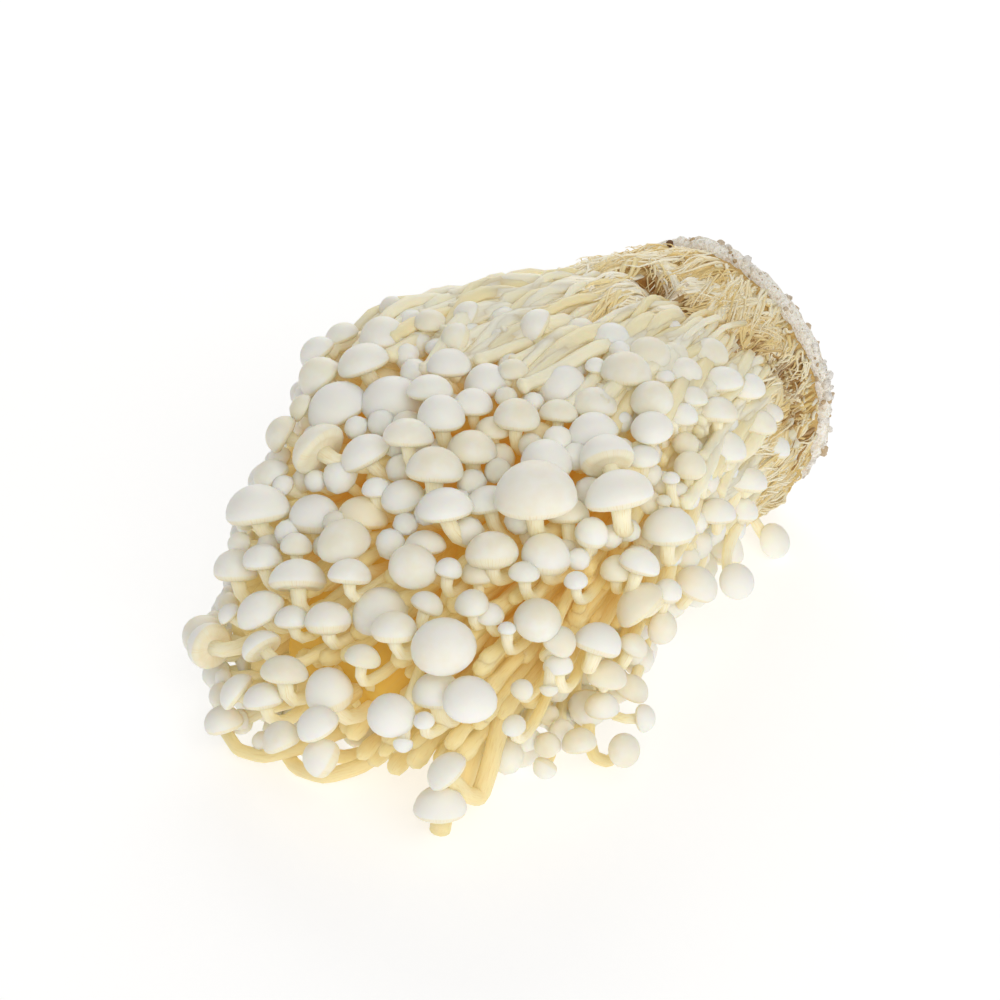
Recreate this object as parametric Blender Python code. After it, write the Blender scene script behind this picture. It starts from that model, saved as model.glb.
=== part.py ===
"""Enoki mushroom bunch, lying on its side: caps and stems, fibrous root mass and growing-medium crust.

+X runs from the root to the caps, +Z is up, and the origin is the middle of the flat spot under the
root, on which the bunch rests. Lengths are in millimetres, and MM turns them into metres.
"""
import math
import random
from collections import namedtuple

import bmesh
import bpy
from mathutils import Vector

MM = 0.001
MUSHROOM_SEED = 21
ROOT_SEED = 19
CRUST_SEED = 3

# Outline of the bunch: cross-sections along X, each a rounded box that is flattened by the table.
Section = namedtuple("Section", "x side half_width middle half_height")
SECTIONS = (
    Section(x=-15, side=0, half_width=25, middle=30, half_height=26),
    Section(x=-9, side=0, half_width=31, middle=30, half_height=31),
    Section(x=10, side=-2, half_width=33, middle=33, half_height=33),
    Section(x=30, side=-3, half_width=39, middle=33.5, half_height=33.5),
    Section(x=50, side=-4, half_width=49, middle=33.5, half_height=33.5),
    Section(x=70, side=-3, half_width=54, middle=33, half_height=33),
    Section(x=90, side=0, half_width=52, middle=29, half_height=30),
    Section(x=110, side=4, half_width=45, middle=23, half_height=24),
    Section(x=125, side=7, half_width=36, middle=18, half_height=18),
    Section(x=134, side=8, half_width=22, middle=14, half_height=11),
)
SQUARENESS = 2.6
ROOT_X = SECTIONS[0].x
TIP_X = SECTIONS[-1].x

# Root mass
ROOT_RADIUS = 31.0
ROOT_MIDDLE = 29.4
ROOT_BACK = -9.6
ROOT_FRONT = 3.0
FRONT_RISE = 0.25
FRONT_SIDE = -0.28
ROOT_TURNS = 72
ROOT_SLICES = 6
RELIEF_SINK = 1.0
SWELL_TURN = math.radians(118)
SWELL_WIDTH = 0.75
SWELL_BACK = 2.0
SWELL_FRONT = 6.5
SWELL_GROWTH = 20.0

# Hollows in the root's side: where each lies round the root, its width as an angle, and its depth
Hollow = namedtuple("Hollow", "turn width depth")
ROOT_HOLLOWS = (
    Hollow(turn=1.05, width=0.16, depth=3.0),
    Hollow(turn=0.62, width=0.12, depth=2.4),
    Hollow(turn=1.6, width=0.1, depth=1.6),
    Hollow(turn=-0.1, width=0.1, depth=1.4),
)

# Thick fibres on the root: how far along it each ring of a fibre comes, and its height over the root
FIBRE_COUNT = 26
FIBRE_SIDES = 5
FIBRE_RADII = (0.7, 0.95)
FIBRE_TURNS = (math.radians(-25), math.radians(205))
FIBRE_DRIFT = 0.12
FIBRE_LIE = ((0.06, -2.2), (0.4, -0.5), (0.66, -0.35), (0.93, -2.2))

# Crust of growing medium: the share of its thickness at which each ring comes, and the ring's radius
NODE_GAP = 0.4
CRUST_BACK = -15.0
CRUST_TURNS = 44
CRUST_RINGS = ((-0.03, 8), (0.08, 17), (0.0, 24), (0.14, 28), (0.42, 30.4), (0.72, 30.7), (1.0, 29.4))
CRUST_ROUGHNESS = (-0.75, 0.5)
CRUST_LIFT = 0.3

# Mushrooms
STEM_OF_CAP = 0.17
STEM_RADIUS_LEAST = 1.2
STEM_RADIUS_MOST = 2.0
STEM_START = 3.0
STEM_SPREAD = (0.95, 0.6)
STEM_SPREAD_FROM = 20.0
STEM_LEAD = 0.35
CAP_LEAD = 0.3
CAP_LEAD_MOST = 14.0
CAP_SEAT = 0.35
DOMES = (0.72, 0.95)
FLOORS = (0.0, 0.15)
ROOT_CLEARANCE = 1.5
TABLE_REST = 0.75
OUTLINE_DEPTH = 0.97
SPREAD_ROUNDS = 40
SPREAD_STEP = 0.6
SPREAD_FULLEST = 1.12

# Mushrooms on the sides that the photo hides
HIDDEN_CAPS = 24
HIDDEN_CAP_RADII = (3.6, 5.6)
HIDDEN_TRIES = 6000
HIDDEN_X = (42.0, TIP_X - 2)
HIDDEN_DEPTH = 0.95
HIDDEN_FACING = -0.05
HIDDEN_REST = 0.8
HIDDEN_APART = 1.05
HIDDEN_AXIS = Vector((0.6, 0, 0.45))
HIDDEN_AXIS_CHANGE = 0.25

# Solids of the mushrooms: the cap's rings as height and reach in cap radii, above where the stem ends
SIDES = 6
CAP_RINGS = ((-0.1, 0.88), (0.28, 1.0))
CAP_EDGE = 0.28
CAP_TOP = 0.68
CAP_TOP_REACH = 0.5
STEM_FOOT = 1.15
STEM_SEARCH_STEPS = 40
LONGEST_SUNK_SHARE = 0.85
LONG_STEM = 48.0
SHORT_STEM = 16.0

# Packed stems in the middle: the share of the outline that they fill at each x
CORE_TURNS = 40
CORE_RIDGE = 0.022
CORE_SINK = 1.6
CORE_REST = 1.0
CORE_BACK_X = 20.0
CORE_RING_X = (32, 52, 76, 98, TIP_X - 22, TIP_X - 10)
CORE_SHARES = ((0, 0.95), (22, 0.94), (45, 0.82), (80, 0.72), (TIP_X - 22, 0.62), (TIP_X - 10, 0.3))
SHORTEST_EDGE = 0.0005

# The photo's view of the bunch, which turns a place in the photo into a place on the bunch
VIEW_TURN = math.radians(132)
VIEW_RISE = math.radians(35)
VIEW_DISTANCE = 560.0
VIEW_AIM = Vector((60.5, -2.5, 30.0))
PHOTO_MIDDLE = 500.0
FOCAL_PIXELS = 2640.0
SIGHT_SPAN = (0.75, 1.25)
SIGHT_STEP = 0.5
TO_VIEWER = Vector((math.sin(VIEW_TURN) * math.cos(VIEW_RISE), -math.cos(VIEW_TURN) * math.cos(VIEW_RISE),
                    math.sin(VIEW_RISE)))
VIEW_RIGHT = Vector((math.cos(VIEW_TURN), math.sin(VIEW_TURN), 0))
VIEW_UP = TO_VIEWER.cross(VIEW_RIGHT)
VIEWER = VIEW_AIM + TO_VIEWER * VIEW_DISTANCE

# Caps read from the photo: the middle and width of each in its pixels, then how many degrees the cap
# leans clockwise from upright in the picture, and how many it tips toward the viewer. Some stand nearer to
# the viewer than their neighbours, by so many millimetres.
Cap = namedtuple("Cap", "column row width lean tip nearer", defaults=(0,))
UPPER_LEFT_CAPS = (
    Cap(column=341, row=334, width=34, lean=-20, tip=6),
    Cap(column=316, row=351, width=36, lean=-40, tip=6),
    Cap(column=318, row=376, width=44, lean=-45, tip=7),
    Cap(column=280, row=433, width=40, lean=-60, tip=6),
    Cap(column=336, row=405, width=62, lean=-25, tip=16),
    Cap(column=362, row=360, width=52, lean=-20, tip=12),
    Cap(column=383, row=338, width=50, lean=0, tip=0),
    Cap(column=392, row=399, width=60, lean=-10, tip=40),
    Cap(column=411, row=322, width=34, lean=0, tip=7),
    Cap(column=433, row=312, width=34, lean=0, tip=6),
    Cap(column=316, row=447, width=56, lean=-50, tip=-30),
    Cap(column=270, row=475, width=40, lean=-40, tip=6),
    Cap(column=364, row=452, width=50, lean=-30, tip=12),
    Cap(column=408, row=434, width=47, lean=0, tip=7),
    Cap(column=441, row=415, width=47, lean=0, tip=20),
    Cap(column=435, row=467, width=55, lean=5, tip=8, nearer=3),
    Cap(column=402, row=495, width=42, lean=-15, tip=20),
    Cap(column=444, row=505, width=56, lean=-12, tip=14, nearer=3),
    Cap(column=472, row=448, width=50, lean=0, tip=20),
)
UPPER_MIDDLE_CAPS = (
    Cap(column=449, row=364, width=44, lean=0, tip=12),
    Cap(column=430, row=388, width=44, lean=0, tip=12),
    Cap(column=487, row=383, width=46, lean=0, tip=16),
    Cap(column=473, row=403, width=40, lean=0, tip=16),
    Cap(column=517, row=416, width=46, lean=5, tip=16),
    Cap(column=546, row=366, width=44, lean=0, tip=12),
    Cap(column=562, row=386, width=52, lean=0, tip=20),
    Cap(column=559, row=412, width=38, lean=5, tip=7),
    Cap(column=594, row=405, width=44, lean=0, tip=12),
    Cap(column=592, row=432, width=50, lean=-20, tip=12),
    Cap(column=581, row=335, width=40, lean=0, tip=7),
    Cap(column=611, row=340, width=40, lean=0, tip=12),
    Cap(column=626, row=370, width=50, lean=0, tip=12),
    Cap(column=648, row=356, width=46, lean=0, tip=12),
    Cap(column=535, row=326, width=36, lean=-60, tip=12),
)
RIGHT_CAPS = (
    Cap(column=652, row=399, width=42, lean=0, tip=35),
    Cap(column=652, row=427, width=42, lean=0, tip=40),
    Cap(column=690, row=397, width=36, lean=0, tip=12),
    Cap(column=708, row=355, width=40, lean=0, tip=12),
    Cap(column=722, row=380, width=40, lean=0, tip=12),
    Cap(column=718, row=412, width=38, lean=0, tip=7),
    Cap(column=759, row=424, width=34, lean=0, tip=12),
    Cap(column=725, row=448, width=44, lean=5, tip=16),
    Cap(column=780, row=442, width=34, lean=10, tip=12),
    Cap(column=747, row=480, width=40, lean=10, tip=16),
    Cap(column=669, row=528, width=52, lean=0, tip=16),
    Cap(column=717, row=512, width=36, lean=0, tip=16),
    Cap(column=740, row=510, width=36, lean=10, tip=16),
    Cap(column=722, row=548, width=44, lean=10, tip=16),
    Cap(column=776, row=541, width=34, lean=80, tip=58),
    Cap(column=738, row=581, width=37, lean=60, tip=55),
    Cap(column=697, row=584, width=44, lean=30, tip=20),
    Cap(column=640, row=562, width=40, lean=15, tip=16),
    Cap(column=638, row=603, width=52, lean=-40, tip=6),
    Cap(column=663, row=628, width=34, lean=110, tip=45),
)
CENTRE_CAPS = (
    Cap(column=546, row=460, width=52, lean=0, tip=16),
    Cap(column=535, row=491, width=79, lean=0, tip=18, nearer=7),
    Cap(column=488, row=500, width=46, lean=-10, tip=12),
    Cap(column=606, row=456, width=54, lean=-15, tip=-28),
    Cap(column=619, row=491, width=66, lean=-8, tip=12, nearer=3),
    Cap(column=568, row=512, width=42, lean=0, tip=7),
    Cap(column=546, row=553, width=50, lean=0, tip=20),
    Cap(column=492, row=549, width=52, lean=0, tip=7),
    Cap(column=443, row=645, width=62, lean=-10, tip=58, nearer=4),
    Cap(column=379, row=610, width=56, lean=-20, tip=40),
    Cap(column=394, row=626, width=43, lean=0, tip=7),
    Cap(column=413, row=565, width=47, lean=0, tip=55),
    Cap(column=425, row=543, width=40, lean=0, tip=12),
    Cap(column=538, row=619, width=47, lean=10, tip=50),
    Cap(column=599, row=641, width=48, lean=20, tip=7),
    Cap(column=607, row=675, width=40, lean=10, tip=20),
    Cap(column=632, row=688, width=36, lean=30, tip=16),
    Cap(column=579, row=741, width=36, lean=-10, tip=16),
    Cap(column=625, row=750, width=34, lean=60, tip=50),
    Cap(column=470, row=698, width=52, lean=10, tip=55),
    Cap(column=437, row=691, width=50, lean=0, tip=16),
    Cap(column=391, row=714, width=46, lean=0, tip=55),
)
LOWER_LEFT_CAPS = (
    Cap(column=328, row=690, width=50, lean=-15, tip=20),
    Cap(column=317, row=724, width=42, lean=-30, tip=16),
    Cap(column=320, row=757, width=40, lean=-60, tip=12),
    Cap(column=281, row=738, width=40, lean=-20, tip=7),
    Cap(column=223, row=721, width=38, lean=-20, tip=7),
    Cap(column=235, row=690, width=40, lean=-50, tip=0),
    Cap(column=263, row=697, width=40, lean=-10, tip=7),
    Cap(column=284, row=670, width=46, lean=0, tip=12),
    Cap(column=208, row=645, width=46, lean=-70, tip=-48),
    Cap(column=236, row=568, width=44, lean=-5, tip=7),
    Cap(column=262, row=558, width=40, lean=-10, tip=7),
    Cap(column=259, row=609, width=48, lean=-30, tip=20),
    Cap(column=298, row=577, width=54, lean=0, tip=-10),
    Cap(column=257, row=507, width=62, lean=-8, tip=8),
    Cap(column=315, row=513, width=50, lean=0, tip=12),
    Cap(column=343, row=540, width=53, lean=-15, tip=32, nearer=2),
    Cap(column=363, row=514, width=52, lean=0, tip=7),
    Cap(column=350, row=573, width=42, lean=5, tip=7),
    Cap(column=328, row=617, width=46, lean=0, tip=7),
    Cap(column=440, row=805, width=50, lean=0, tip=16),
    Cap(column=445, row=770, width=46, lean=-40, tip=10),
)
PHOTO_CAPS = UPPER_LEFT_CAPS + UPPER_MIDDLE_CAPS + RIGHT_CAPS + CENTRE_CAPS + LOWER_LEFT_CAPS

# Outline of the bunch in the photo, clockwise from the top of its root
Spot = namedtuple("Spot", "column row")
PHOTO_OUTLINE = (
    Spot(column=655, row=236),
    Spot(column=700, row=243),
    Spot(column=760, row=280),
    Spot(column=812, row=340),
    Spot(column=825, row=400),
    Spot(column=810, row=450),
    Spot(column=775, row=500),
    Spot(column=757, row=581),
    Spot(column=680, row=628),
    Spot(column=659, row=700),
    Spot(column=610, row=755),
    Spot(column=540, row=770),
    Spot(column=490, row=790),
    Spot(column=440, row=750),
    Spot(column=320, row=770),
    Spot(column=240, row=755),
    Spot(column=204, row=720),
    Spot(column=183, row=640),
    Spot(column=211, row=570),
    Spot(column=226, row=507),
    Spot(column=262, row=433),
    Spot(column=300, row=345),
    Spot(column=340, row=325),
    Spot(column=400, row=300),
    Spot(column=450, row=298),
    Spot(column=510, row=280),
    Spot(column=545, row=270),
    Spot(column=600, row=246),
)


def mix(a, b, share):
    return a + (b - a) * share


def clamp(value, low, high):
    return max(low, min(high, value))


def section_at(x):
    """Cross-section of the bunch at x, read between the two nearest of SECTIONS."""
    x = clamp(x, ROOT_X, TIP_X)
    for back, front in zip(SECTIONS, SECTIONS[1:]):
        if x <= front.x:
            share = (x - back.x) / (front.x - back.x)
            return Section(*(mix(a, b, share) for a, b in zip(back, front)))
    return SECTIONS[-1]


def fullness(point):
    """0 on the middle line of the bunch, 1 on its outline, more outside."""
    at = section_at(point.x)
    across = abs((point.y - at.side) / at.half_width)
    upward = abs((point.z - at.middle) / at.half_height)
    beyond = max(0.0, point.x - TIP_X, ROOT_X - point.x)
    return (across ** SQUARENESS + upward ** SQUARENESS) ** (1 / SQUARENESS) + beyond / 8


def outline_point(x, turn, scale=1.0):
    """Point on the outline at x, turned from +Y toward +Z, drawn in or out by scale."""
    at = section_at(x)
    c, s = math.cos(turn), math.sin(turn)
    reach = scale * (abs(c) ** SQUARENESS + abs(s) ** SQUARENESS) ** (-1 / SQUARENESS)
    return Vector((x, at.side + at.half_width * reach * c, at.middle + at.half_height * reach * s))


def outward(point):
    """Direction straight out of the bunch's outline at a point, by differences of fullness."""
    step = 0.5
    slope = Vector()
    for axis in range(3):
        shift = Vector()
        shift[axis] = step
        slope[axis] = fullness(point + shift) - fullness(point - shift)
    return slope.normalized()


def root_front(y, z):
    """X of the slanted plane where the root mass ends and the stems begin."""
    return ROOT_FRONT + FRONT_RISE * z + FRONT_SIDE * y


def root_swell(turn, x):
    """How far the root stands out of its round shape on its upper far side, more toward the front."""
    off = math.remainder(turn - SWELL_TURN, 2 * math.pi) / SWELL_WIDTH
    height = mix(SWELL_BACK, SWELL_FRONT, clamp((x - ROOT_BACK) / SWELL_GROWTH, 0, 1))
    return height * math.exp(-off * off)


class Mushroom:
    """One mushroom: the middle of its cap, the way the cap points, its size and its dome."""

    def __init__(self, middle, axis, cap_radius, draw, sight=None):
        self.middle = middle
        self.axis = axis.normalized()
        self.cap_radius = cap_radius
        self.stem_radius = clamp(cap_radius * 2 * STEM_OF_CAP, STEM_RADIUS_LEAST, STEM_RADIUS_MOST)
        self.dome = draw.uniform(*DOMES)
        self.turn = draw.uniform(0, 2 * math.pi)
        self.floor = draw.uniform(*FLOORS)
        self.sight = sight

    def route(self):
        """Middle line of the stem, a cubic from the root to the underside of the cap."""
        at = section_at(self.middle.x)
        across = (self.middle.y - at.side) / at.half_width
        upward = (self.middle.z - at.middle) / at.half_height
        along = clamp((self.middle.x - STEM_SPREAD_FROM) / (TIP_X - STEM_SPREAD_FROM), 0, 1)
        spread = mix(*STEM_SPREAD, along) * ROOT_RADIUS
        length = math.hypot(across, upward) or 1.0
        across, upward = across / max(length, 1.0), upward / max(length, 1.0)
        start = Vector((0, across * spread, ROOT_MIDDLE + upward * spread))
        start.x = root_front(start.y, start.z) + STEM_START
        end = self.middle - self.axis * self.cap_radius * CAP_SEAT
        reach = (end - start).length
        bend = end - self.axis * min(reach * CAP_LEAD, CAP_LEAD_MOST)
        return (start, start + Vector((reach * STEM_LEAD, 0, 0)), bend, end)


def bezier(route, t):
    a, b, c, d = route
    s = 1 - t
    return a * s ** 3 + b * 3 * s * s * t + c * 3 * s * t * t + d * t ** 3


def photo_mushroom(cap, draw):
    """Mushroom of a cap read from the photo: its line of sight meets the outline, or else the table."""
    sight = (VIEW_RIGHT * (cap.column - PHOTO_MIDDLE) - VIEW_UP * (cap.row - PHOTO_MIDDLE)) / FOCAL_PIXELS
    sight = (sight - TO_VIEWER).normalized()
    nearest = None
    nearest_distance, furthest_distance = (VIEW_DISTANCE * share for share in SIGHT_SPAN)
    distance = nearest_distance
    while distance < furthest_distance:
        point = VIEWER + sight * distance
        cap_radius = cap.width / 2 * distance / FOCAL_PIXELS
        full = fullness(point)
        if nearest is None or full < nearest[0]:
            nearest = (full, point, cap_radius)
        if full < OUTLINE_DEPTH or point.z < cap_radius * TABLE_REST:
            break
        distance += SIGHT_STEP
    full, point, cap_radius = nearest
    lean, tip = math.radians(cap.lean), math.radians(cap.tip)
    in_picture = VIEW_RIGHT * math.sin(lean) + VIEW_UP * math.cos(lean)
    axis = in_picture * math.cos(tip) + TO_VIEWER * math.sin(tip)
    clear_of_root = root_front(point.y, point.z) + cap_radius + ROOT_CLEARANCE
    point.x = max(point.x, clear_of_root)
    point -= sight * cap.nearer
    return Mushroom(point, axis, cap_radius, draw, sight)


def spread_along_sight(mushrooms):
    """Caps that would pass through each other move apart along their lines of sight."""
    for _ in range(SPREAD_ROUNDS):
        for i, one in enumerate(mushrooms):
            for other in mushrooms[i + 1:]:
                apart = one.middle - other.middle
                wanted = one.cap_radius + other.cap_radius
                if apart.length >= wanted:
                    continue
                step = min(SPREAD_STEP, wanted - apart.length)
                nearer, further = (one, other) if apart.dot(TO_VIEWER) > 0 else (other, one)
                if fullness(nearer.middle) < SPREAD_FULLEST:
                    nearer.middle -= nearer.sight * step
                if further.middle.z > further.cap_radius:
                    further.middle += further.sight * step


def in_photo(point):
    """Column and row of a place in the photo, and how many of its pixels a millimetre takes there."""
    away = point - VIEWER
    pixels = FOCAL_PIXELS / -away.dot(TO_VIEWER)
    return PHOTO_MIDDLE + away.dot(VIEW_RIGHT) * pixels, PHOTO_MIDDLE - away.dot(VIEW_UP) * pixels, pixels


def inside_photo_outline(point, margin):
    """True where a place lies inside the bunch's outline in the photo by at least margin millimetres."""
    column, row, pixels = in_photo(point)
    inside = False
    for (c0, r0), (c1, r1) in zip(PHOTO_OUTLINE, PHOTO_OUTLINE[1:] + PHOTO_OUTLINE[:1]):
        across, down = c1 - c0, r1 - r0
        share = clamp(((column - c0) * across + (row - r0) * down) / (across ** 2 + down ** 2), 0, 1)
        if math.hypot(column - mix(c0, c1, share), row - mix(r0, r1, share)) < margin * pixels:
            return False
        if (r0 > row) != (r1 > row) and column < c0 + across * (row - r0) / down:
            inside = not inside
    return inside


def hidden_mushrooms(shown, draw):
    """Mushrooms on the sides that the photo hides, by a seeded rule that keeps them apart."""
    placed = []
    for _ in range(HIDDEN_TRIES):
        if len(placed) == HIDDEN_CAPS:
            break
        x = mix(*HIDDEN_X, math.sqrt(draw.random()))
        point = outline_point(x, draw.uniform(0, 2 * math.pi), HIDDEN_DEPTH)
        away = outward(point)
        cap_radius = draw.uniform(*HIDDEN_CAP_RADII)
        point.z = max(point.z, cap_radius * HIDDEN_REST)
        if away.dot(TO_VIEWER) > HIDDEN_FACING or not inside_photo_outline(point, cap_radius * HIDDEN_REST):
            continue
        if any((point - near.middle).length < HIDDEN_APART * (cap_radius + near.cap_radius)
               for near in shown + placed):
            continue
        change = Vector([draw.uniform(-HIDDEN_AXIS_CHANGE, HIDDEN_AXIS_CHANGE) for _ in range(3)])
        placed.append(Mushroom(point, away * 0.5 + HIDDEN_AXIS + change, cap_radius, draw))
    return placed


def core_scale(x):
    """Share of the outline that the packed stems fill, from the root forward."""
    for (x0, share0), (x1, share1) in zip(CORE_SHARES, CORE_SHARES[1:]):
        if x <= x1:
            return mix(share0, share1, clamp((x - x0) / (x1 - x0), 0, 1))
    return CORE_SHARES[-1][1]


def ring(mesh, middle, axis, side, radius, sides=SIDES):
    """Ring of vertices round a point, square to an axis."""
    up = axis.cross(side).normalized()
    side = up.cross(axis).normalized()
    turns = (2 * math.pi * k / sides for k in range(sides))
    return [mesh.verts.new(middle + side * radius * math.cos(a) + up * radius * math.sin(a)) for a in turns]


def join_rings(mesh, rings):
    """Closed body through rings of equal count, with flat ends."""
    count = len(rings[0])
    for low, high in zip(rings, rings[1:]):
        for k in range(count):
            n = (k + 1) % count
            mesh.faces.new((low[k], low[n], high[n], high[k]))
    mesh.faces.new(list(reversed(rings[0])))
    mesh.faces.new(rings[-1])


def cut_flat_below(mesh, floor):
    """Whatever would sink into the table is cut off, which leaves a small flat spot."""
    if min(vert.co.z for vert in mesh.verts) >= floor:
        return
    everything = mesh.verts[:] + mesh.edges[:] + mesh.faces[:]
    bmesh.ops.bisect_plane(mesh, geom=everything, plane_co=(0, 0, floor), plane_no=(0, 0, 1),
                           clear_inner=True)
    bmesh.ops.holes_fill(mesh, edges=[edge for edge in mesh.edges if edge.is_boundary])


def finish_mesh(mesh, name):
    """Object of a bmesh given in millimetres."""
    bmesh.ops.scale(mesh, vec=(MM, MM, MM), verts=mesh.verts)
    bmesh.ops.recalc_face_normals(mesh, faces=mesh.faces)
    data = bpy.data.meshes.new(name)
    mesh.to_mesh(data)
    mesh.free()
    thing = bpy.data.objects.new(name, data)
    bpy.context.scene.collection.objects.link(thing)
    return thing


def mushroom_object(mushroom, number):
    """Six-sided stem and domed cap of one mushroom, from inside the core out to the cap."""
    route = mushroom.route()
    start = 0.0
    for step in range(STEM_SEARCH_STEPS):
        t = step / STEM_SEARCH_STEPS
        point = bezier(route, t)
        if fullness(point) > core_scale(point.x) - CORE_SINK / section_at(point.x).half_height:
            break
        start = t
    start = min(start, LONGEST_SUNK_SHARE)
    end = route[-1]
    exposed = (bezier(route, start) - end).length
    pieces = 3 if exposed > LONG_STEM else 2 if exposed > SHORT_STEM else 1
    mesh = bmesh.new()
    side = Vector((math.sin(mushroom.turn), math.cos(mushroom.turn), 0.3))
    radius = mushroom.stem_radius
    rings = []
    for k in range(pieces):
        t = mix(start, 1.0, k / pieces)
        ahead = (bezier(route, t + 0.02) - bezier(route, t)).normalized()
        rings.append(ring(mesh, bezier(route, t), ahead, side, radius * mix(STEM_FOOT, 1.0, k / pieces)))
    cap = mushroom.cap_radius
    stem_top = (-0.05, radius / cap)
    cap_top = (CAP_EDGE + mushroom.dome * CAP_TOP, CAP_TOP_REACH)
    for height, reach in (stem_top, *CAP_RINGS, cap_top):
        rings.append(ring(mesh, end + mushroom.axis * height * cap, mushroom.axis, side, reach * cap))
    join_rings(mesh, rings)
    cut_flat_below(mesh, mushroom.floor)
    return finish_mesh(mesh, f"mushroom {number}")


def core_object():
    """Packed stems inside the bunch, ridged like them, from the root's front to short of the tips."""
    mesh = bmesh.new()
    rings = []
    for x in (CORE_BACK_X, *CORE_RING_X):
        loop = []
        for k in range(CORE_TURNS):
            turn = 2 * math.pi * k / CORE_TURNS
            ridge = 1 + CORE_RIDGE * (-1) ** k
            point = outline_point(x, turn, core_scale(x) * ridge)
            if x == CORE_BACK_X:
                point.x = root_front(point.y, point.z) + NODE_GAP
            point.z = max(point.z, CORE_REST)
            loop.append(mesh.verts.new(point))
        rings.append(loop)
    join_rings(mesh, rings)
    return finish_mesh(mesh, "core")


def fuse(base, others):
    """Base with the others fused into it by one Boolean union, which is applied."""
    group = bpy.data.collections.new("to fuse")
    for thing in others:
        bpy.context.scene.collection.objects.unlink(thing)
        group.objects.link(thing)
    bpy.context.scene.collection.children.link(group)
    union = base.modifiers.new("union", "BOOLEAN")
    union.operation = "UNION"
    union.operand_type = "COLLECTION"
    union.collection = group
    union.solver = "MANIFOLD"
    bpy.context.view_layer.update()
    fused = bpy.data.meshes.new_from_object(base.evaluated_get(bpy.context.evaluated_depsgraph_get()))
    base.modifiers.clear()
    base.data = fused
    for thing in others:
        bpy.data.objects.remove(thing)
    bpy.data.collections.remove(group)
    return base


def drop_flaps(mesh):
    """Triangles that lie back to back on the same three corners are both dropped."""
    mates = {}
    for face in mesh.faces:
        mates.setdefault(frozenset(vert.index for vert in face.verts), []).append(face)
    flaps = [face for faces in mates.values() if len(faces) > 1 for face in faces]
    bmesh.ops.delete(mesh, geom=flaps, context="FACES")
    bmesh.ops.delete(mesh, geom=[edge for edge in mesh.edges if not edge.link_faces], context="EDGES")


def clean_union(thing):
    """A union's short edges and folded flaps are closed up, and its loose scraps dropped."""
    mesh = bmesh.new()
    mesh.from_mesh(thing.data)
    bmesh.ops.triangulate(mesh, faces=mesh.faces)
    drop_flaps(mesh)
    bmesh.ops.remove_doubles(mesh, verts=mesh.verts, dist=SHORTEST_EDGE * MM)
    mesh.verts.index_update()
    drop_flaps(mesh)
    mesh.to_mesh(thing.data)
    mesh.free()
    keep_largest_body(thing)


def keep_largest_body(thing):
    """Loose scraps that a union can leave are dropped."""
    mesh = bmesh.new()
    mesh.from_mesh(thing.data)
    bodies = []
    unseen = set(mesh.verts)
    while unseen:
        todo = [unseen.pop()]
        body = set(todo)
        while todo:
            for edge in todo.pop().link_edges:
                for vert in edge.verts:
                    if vert in unseen:
                        unseen.remove(vert)
                        body.add(vert)
                        todo.append(vert)
        bodies.append(body)
    bodies.sort(key=len)
    for scrap in bodies[:-1]:
        bmesh.ops.delete(mesh, geom=list(scrap), context="VERTS")
    mesh.to_mesh(thing.data)
    mesh.free()


def root_relief(turn, share):
    """Height of the matted fibres over the root's round side, with hollows, and none where it rests."""
    fine = 0.35 * math.sin(turn * 29 + share * 7) + 0.4 * math.sin(turn * 17 - share * 10)
    sunk = 0.0
    for hollow in ROOT_HOLLOWS:
        sunk += hollow.depth * math.exp(-((turn - hollow.turn) / hollow.width) ** 2)
    above_rest = clamp((math.sin(turn) + 1) / 0.12, 0, 1)
    return (fine - sunk) * math.sin(math.pi * share) * above_rest


def root_object():
    """Matted root: a short round body, ridged by its fibres, flat at the back and slanted in front."""
    mesh = bmesh.new()
    rings = []
    for s in range(ROOT_SLICES + 1):
        share = s / ROOT_SLICES
        loop = []
        for k in range(ROOT_TURNS):
            turn = 2 * math.pi * k / ROOT_TURNS
            if turn > math.pi * 1.5:
                turn -= 2 * math.pi
            radius = ROOT_RADIUS - RELIEF_SINK + root_relief(turn, share)
            x = mix(ROOT_BACK, root_front(radius * math.cos(turn), ROOT_MIDDLE + radius * math.sin(turn)), share)
            radius += root_swell(turn, x)
            y, z = radius * math.cos(turn), ROOT_MIDDLE + radius * math.sin(turn)
            x = mix(ROOT_BACK, root_front(y, z), share)
            loop.append(mesh.verts.new((x, y, max(z, 0.0))))
        rings.append(loop)
    join_rings(mesh, rings)
    return finish_mesh(mesh, "root_mass")


def fibre_object(number, draw):
    """One thick fibre that lies along the root's side, both ends sunk in."""
    turn = draw.uniform(*FIBRE_TURNS)
    drift = draw.uniform(-FIBRE_DRIFT, FIBRE_DRIFT)
    mesh = bmesh.new()
    rings = []
    for share, height in FIBRE_LIE:
        a = turn + drift * share
        front = root_front(ROOT_RADIUS * math.cos(a), ROOT_MIDDLE + ROOT_RADIUS * math.sin(a))
        x = mix(ROOT_BACK, front, share)
        radius = ROOT_RADIUS + height + root_swell(a, x)
        middle = Vector((x, radius * math.cos(a), ROOT_MIDDLE + radius * math.sin(a)))
        thick = draw.uniform(*FIBRE_RADII)
        rings.append(ring(mesh, middle, Vector((1, 0, 0)), Vector((0, 0, 1)), thick, FIBRE_SIDES))
    join_rings(mesh, rings)
    return finish_mesh(mesh, f"fibre {number}")


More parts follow.
